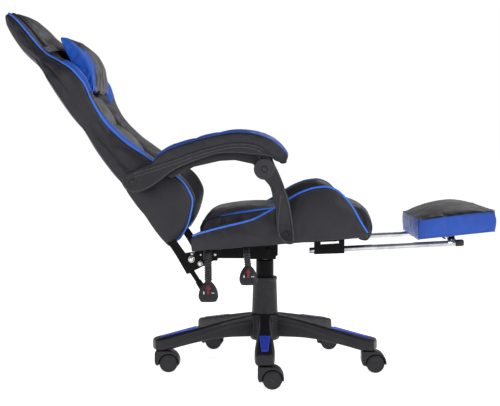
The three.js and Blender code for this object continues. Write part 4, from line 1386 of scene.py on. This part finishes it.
# ---------------------------------------------------------------- armrest shells and supports
def bead(outline, depth, start, stop, x, radius):
    """A raised line on the outer face, a set distance in from the outline."""
    line = inset(outline, depth)[start:stop]
    return tube_skin([at(x, f, z) for f, z in line], radius * MM, 8)


def both_sides(name, body, parts, node=None, material=None):
    """A black piece on the sitter's right and its mirror image on the left."""
    piece = joined(f"{name}_right", *parts)
    turn_faces_out(piece.data)
    for side, half in (("right", piece), ("left", mirrored(piece, f"{name}_left"))):
        dress(half, f"{body}_{side}", "black_plastic", [f"{node}_{side}"] if node else [], material)


def arm_shell():
    outline = curve(SHELL_OUTLINE, 240, closed=True)
    x = -ARM_OUT + 2
    front = int(np.argmax(outline[:, 0]))  # the end of the upper line
    lines = [bead(outline, depth, 8, front - 14, x + 0.2, 1.3) for depth in (3, 11)]
    lines.append(bead(outline, 3.4, front + 8, len(outline), x + 0.2, 1.0))
    # The beads take the paler nylon, a painted highlight along the seam lines
    both_sides("arm_shell_bead", "armrest", lines, material=PAINTED_HIGHLIGHT_PLASTIC)
    plug = rounded_profile([
        (0, -3.1), (5, -2.9), (8.2, -1.6), (8.6, 0.2), (10.2, 0.3), (10.8, -0.5), (11.8, -0.5), (12.4, 1.5),
        (0, 1.5),
    ], 0.5)
    both_sides("arm_shell_moulding", "armrest", [
        slab_skin(outline, x, -ARM_IN - 2, 2.4, 5), lathe_skin(plug, 40, at(x, *ARM_REAR), "X"),
    ], "arm_shell")


SUPPORT = [  # up, rear edge, front edge
    (373.4, 59, 69), (374.4, 55, 72.5), (377, 50, 75), (383, 43.5, 76.4), (392, 37, 77), (404, 33, 76.4),
    (430, 29, 73),
    (467, 27, 67), (496, 20, 60), (522, 14, 50), (545, -3, 40), (561, -12, 32), (575, -12, 26), (588, -4, 20),
]
SUPPORT_RIDGES = [  # up, forward, and how far the line is sunk
    [(503, 41, 3.2), (473, 38, 3.2), (445, 35, 2), (417, 34.5, 0.4), (404, 36.5, 0.4), (392, 41, 0.4),
     (384, 48, 0.5), (379, 58, 0.5)],
    [(520, 47.5, 0.4), (496, 57, 0.4), (467, 64, 0.4), (430, 70.3, 0.4), (404, 73, 0.4), (386, 73.5, 0.4)],
]


def support_faces(up):
    """The outer and inner face, which lean out from the seat's side to the arm's."""
    share = clamped((up - 425) / 100)
    lean = share * share * (3 - 2 * share)
    return -284 - 40 * lean, -259 - 42 * lean


def arm_support():
    rings = []
    for z, rear, front in steady(SUPPORT, [*np.linspace(373.4, 392, 14), *np.linspace(395, 588, 66)]):
        outer, inner = support_faces(z)
        width = front - rear
        floor = 3.2 * clamped((z - 381) / 9) * clamped((556 - z) / 30)
        rim, soft = min(5.0, width * 0.2), min(3.0, width * 0.2)
        section = [
            (soft, inner), (width - soft, inner), (width - 0.8, inner - 0.8), (width, inner - soft),
            (width, outer + soft), (width - 0.8, outer + 0.8), (width - soft, outer), (width - rim, outer),
            (width - rim - 2.5, outer + floor), (width / 2, outer + floor * 0.9), (rim + 2.5, outer + floor),
            (rim, outer), (soft, outer), (0.8, outer + 0.8), (0, outer + soft), (0, inner - soft),
            (0.8, inner - 0.8), (soft, inner),
        ]
        rings.append([at(x, rear + u, z) for u, x in even(section, 88)[:-1]])
    cap = rounded_profile([
        (0, -301), (25, -301), (27.5, -303), (27.5, -323), (26.2, -325.4), (23.6, -326), (22.6, -325.2),
        (9, -325.4), (8.2, -324), (6.4, -324), (5.6, -326.4), (0, -326.8),
    ], 0.7)
    bolt = rounded_profile([
        (0, -252), (6, -252), (6, -279), (10.5, -279), (10.5, -283.6), (9.6, -284.6), (8.4, -284.6),
        (7.6, -282.2), (6.2, -282), (5.4, -283.6), (3.2, -283.6), (2.8, -282), (0, -282),
    ], 0.4)
    pin = [(0, -264), (8, -264), (8, -302), (0, -302)]
    hub = at(0, *ARM_HUB)
    both_sides("arm_hub_cap", "arm_support", [lathe_skin(cap, 72, hub, "X")], material=SATIN_PLASTIC)
    ridges = [tube_skin(curve([at(support_faces(z)[0] + sunk, f, z) for z, f, sunk in line], 60), 1.3 * MM, 8)
              for line in SUPPORT_RIDGES]
    # The ridges take the paler nylon, a painted highlight
    both_sides("arm_support_ridge", "arm_support", ridges, material=PAINTED_HIGHLIGHT_PLASTIC)
    both_sides("arm_support_moulding", "arm_support", [
        skin(rings), lathe_skin(pin, 32, hub, "X"), lathe_skin(bolt, 32, at(0, *ARM_FOOT), "X"),
    ], "arm_support")


BAR_OUTLINE = [
    (-253, 552), (-233, 567), (-194, 586), (-155, 600), (-116, 611), (-64, 612), (-38, 608), (-20, 602),
    (-8, 590), (-18, 556), (-30, 582), (-77, 592), (-116, 590), (-194, 572), (-240, 546), (-253, 552),
]
BAR_FACES = (-298, -266)
EYE_R, EYE_HOLE_R, EYE_EDGE = 22, 12, 1.5


def arm_bar():
    """The strut under the shell, with the eye that the hub's pin passes through."""
    forward, up = ARM_HUB

    def circle(radius):
        return [(forward + radius * math.cos(a), up + radius * math.sin(a)) for a in turn_steps(48)]
    rim, hole = circle(EYE_R), circle(EYE_HOLE_R)
    edge = inset(rim, EYE_EDGE)
    outer, inner = BAR_FACES
    rings = [[at(x, *p) for p in side] for x, side in (
        (outer, hole), (outer, edge), (outer + EYE_EDGE, rim), (inner - EYE_EDGE, rim), (inner, edge),
        (inner, hole), (outer, hole),
    )]
    strut = slab_skin(even(BAR_OUTLINE, 160)[:-1], outer, inner, 1.6)
    both_sides("arm_bar_moulding", "armrest", [strut, skin(rings, closed_ends=False)], "arm_bar")


arm_shell()
arm_bar()
arm_support()


# ---------------------------------------------------------------- footrest rails
RAIL_X = 165
RAIL_R = 7.8
RAIL_RISE = math.tan(math.radians(3))
CROSS_BAR = (520, 366.3)
CROSS_R = 6
RAIL_CAP = [(514, 8.6), (515, 9.2), (526.5, 9.2), (533.5, 8.8), (535.4, 6.5)]  # forward, radius


def rail(x, forward):
    return at(x, forward, CROSS_BAR[1] + (forward - CROSS_BAR[0]) * RAIL_RISE)


def footrest_rails():
    parts = [tube_skin([rail(x, f) for f in np.linspace(120, 526, 12)], RAIL_R * MM, 40, rounded=False)
             for x in (-RAIL_X, RAIL_X)]
    cross = [at(x, *CROSS_BAR) for x in np.linspace(-RAIL_X, RAIL_X, 8)]
    parts.append(tube_skin(cross, CROSS_R * MM, 32, rounded=False))
    build("footrest_rails", parts, "footrest_frame", "chrome", ["footrest_frame"])
    for side, sign in SIDES.items():
        path = [rail(-sign * RAIL_X, f) for f, _ in RAIL_CAP]
        cap = tube_skin(path, [r * MM for _, r in RAIL_CAP], 36, rounded=False)
        build(f"rail_cap_moulding_{side}", [cap], "footrest_frame", "black_plastic", [f"rail_cap_{side}"])


footrest_rails()


# ---------------------------------------------------------------- camera, light and floor
CAMERA_PLACE = (-3.18856, -0.00025, 0.66178)
CAMERA_PITCH, CAMERA_YAW = math.radians(3.562), math.radians(0.766)  # down, and towards the back from +X
CAMERA_LENS = 80.93
LIGHTS = [  # name, place, size, watts
    ("key", (-2.4, -2.0, 2.2), 1.2, 46),
    ("fill", (-2.6, 1.6, 1.4), 1.4, 16),
    ("rim", (1.8, -1.2, 2.8), 1.6, 26),
]
CEILING_FADE = [(0.15, (1, 1, 1, 1)), (0.4, (0.2, 0.2, 0.21, 1))]  # height of the direction, colour


def studio():
    scene = bpy.context.scene
    camera = bpy.data.objects.new("camera", bpy.data.cameras.new("camera"))
    scene.collection.objects.link(camera)
    level = math.cos(CAMERA_PITCH)
    view = Vector((level * math.cos(CAMERA_YAW), level * math.sin(CAMERA_YAW), -math.sin(CAMERA_PITCH)))
    camera.location = CAMERA_PLACE
    camera.rotation_euler = view.to_track_quat("-Z", "Y").to_euler()
    camera.data.lens = CAMERA_LENS
    camera.data.sensor_width = 36
    scene.camera = camera
    scene.view_settings.view_transform = "Standard"

    world = bpy.data.worlds.new("studio")
    world.use_nodes = True
    tree = world.node_tree
    tree.nodes["Background"].inputs["Strength"].default_value = 1.0
    height = tree.nodes.new("ShaderNodeSeparateXYZ")
    fade = tree.nodes.new("ShaderNodeValToRGB")  # white round the horizon, a dimmer ceiling
    for element, (place, colour) in zip(fade.color_ramp.elements, CEILING_FADE):
        element.position = place
        element.color = colour
    tree.links.new(tree.nodes.new("ShaderNodeTexCoord").outputs["Generated"], height.inputs[0])
    tree.links.new(height.outputs["Z"], fade.inputs["Fac"])
    tree.links.new(fade.outputs["Color"], tree.nodes["Background"].inputs["Color"])
    scene.world = world

    for name, place, size, power in LIGHTS:
        light = bpy.data.objects.new(name, bpy.data.lights.new(name, "AREA"))
        light.data.size = size
        light.data.energy = power
        light.location = place
        light.rotation_euler = (Vector((0, 0, 0.5)) - Vector(place)).to_track_quat("-Z", "Y").to_euler()
        scene.collection.objects.link(light)

    floor = new_object("floor", [(-30, -30, 0), (30, -30, 0), (30, 30, 0), (-30, 30, 0)], [(0, 1, 2, 3)])
    s = Shader("floor", 0.8, Emission_Color=(1, 1, 1, 1), Emission_Strength=0.8)
    s.paint((0.93, 0.93, 0.93), (0.95, 0.95, 0.95), 1)
    floor.data.materials.append(s.material)


studio()
for name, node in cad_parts.items():
    if not node.hide_render:
        slot = node.data.materials[0].name if node.data.materials else "black_steel"
        key = next((k for k in FINISH if slot.startswith(k)), "black_steel")
        node.data.materials.clear()
        node.data.materials.append(FINISH[key])
        node.data.shade_smooth()
        crisp(node)
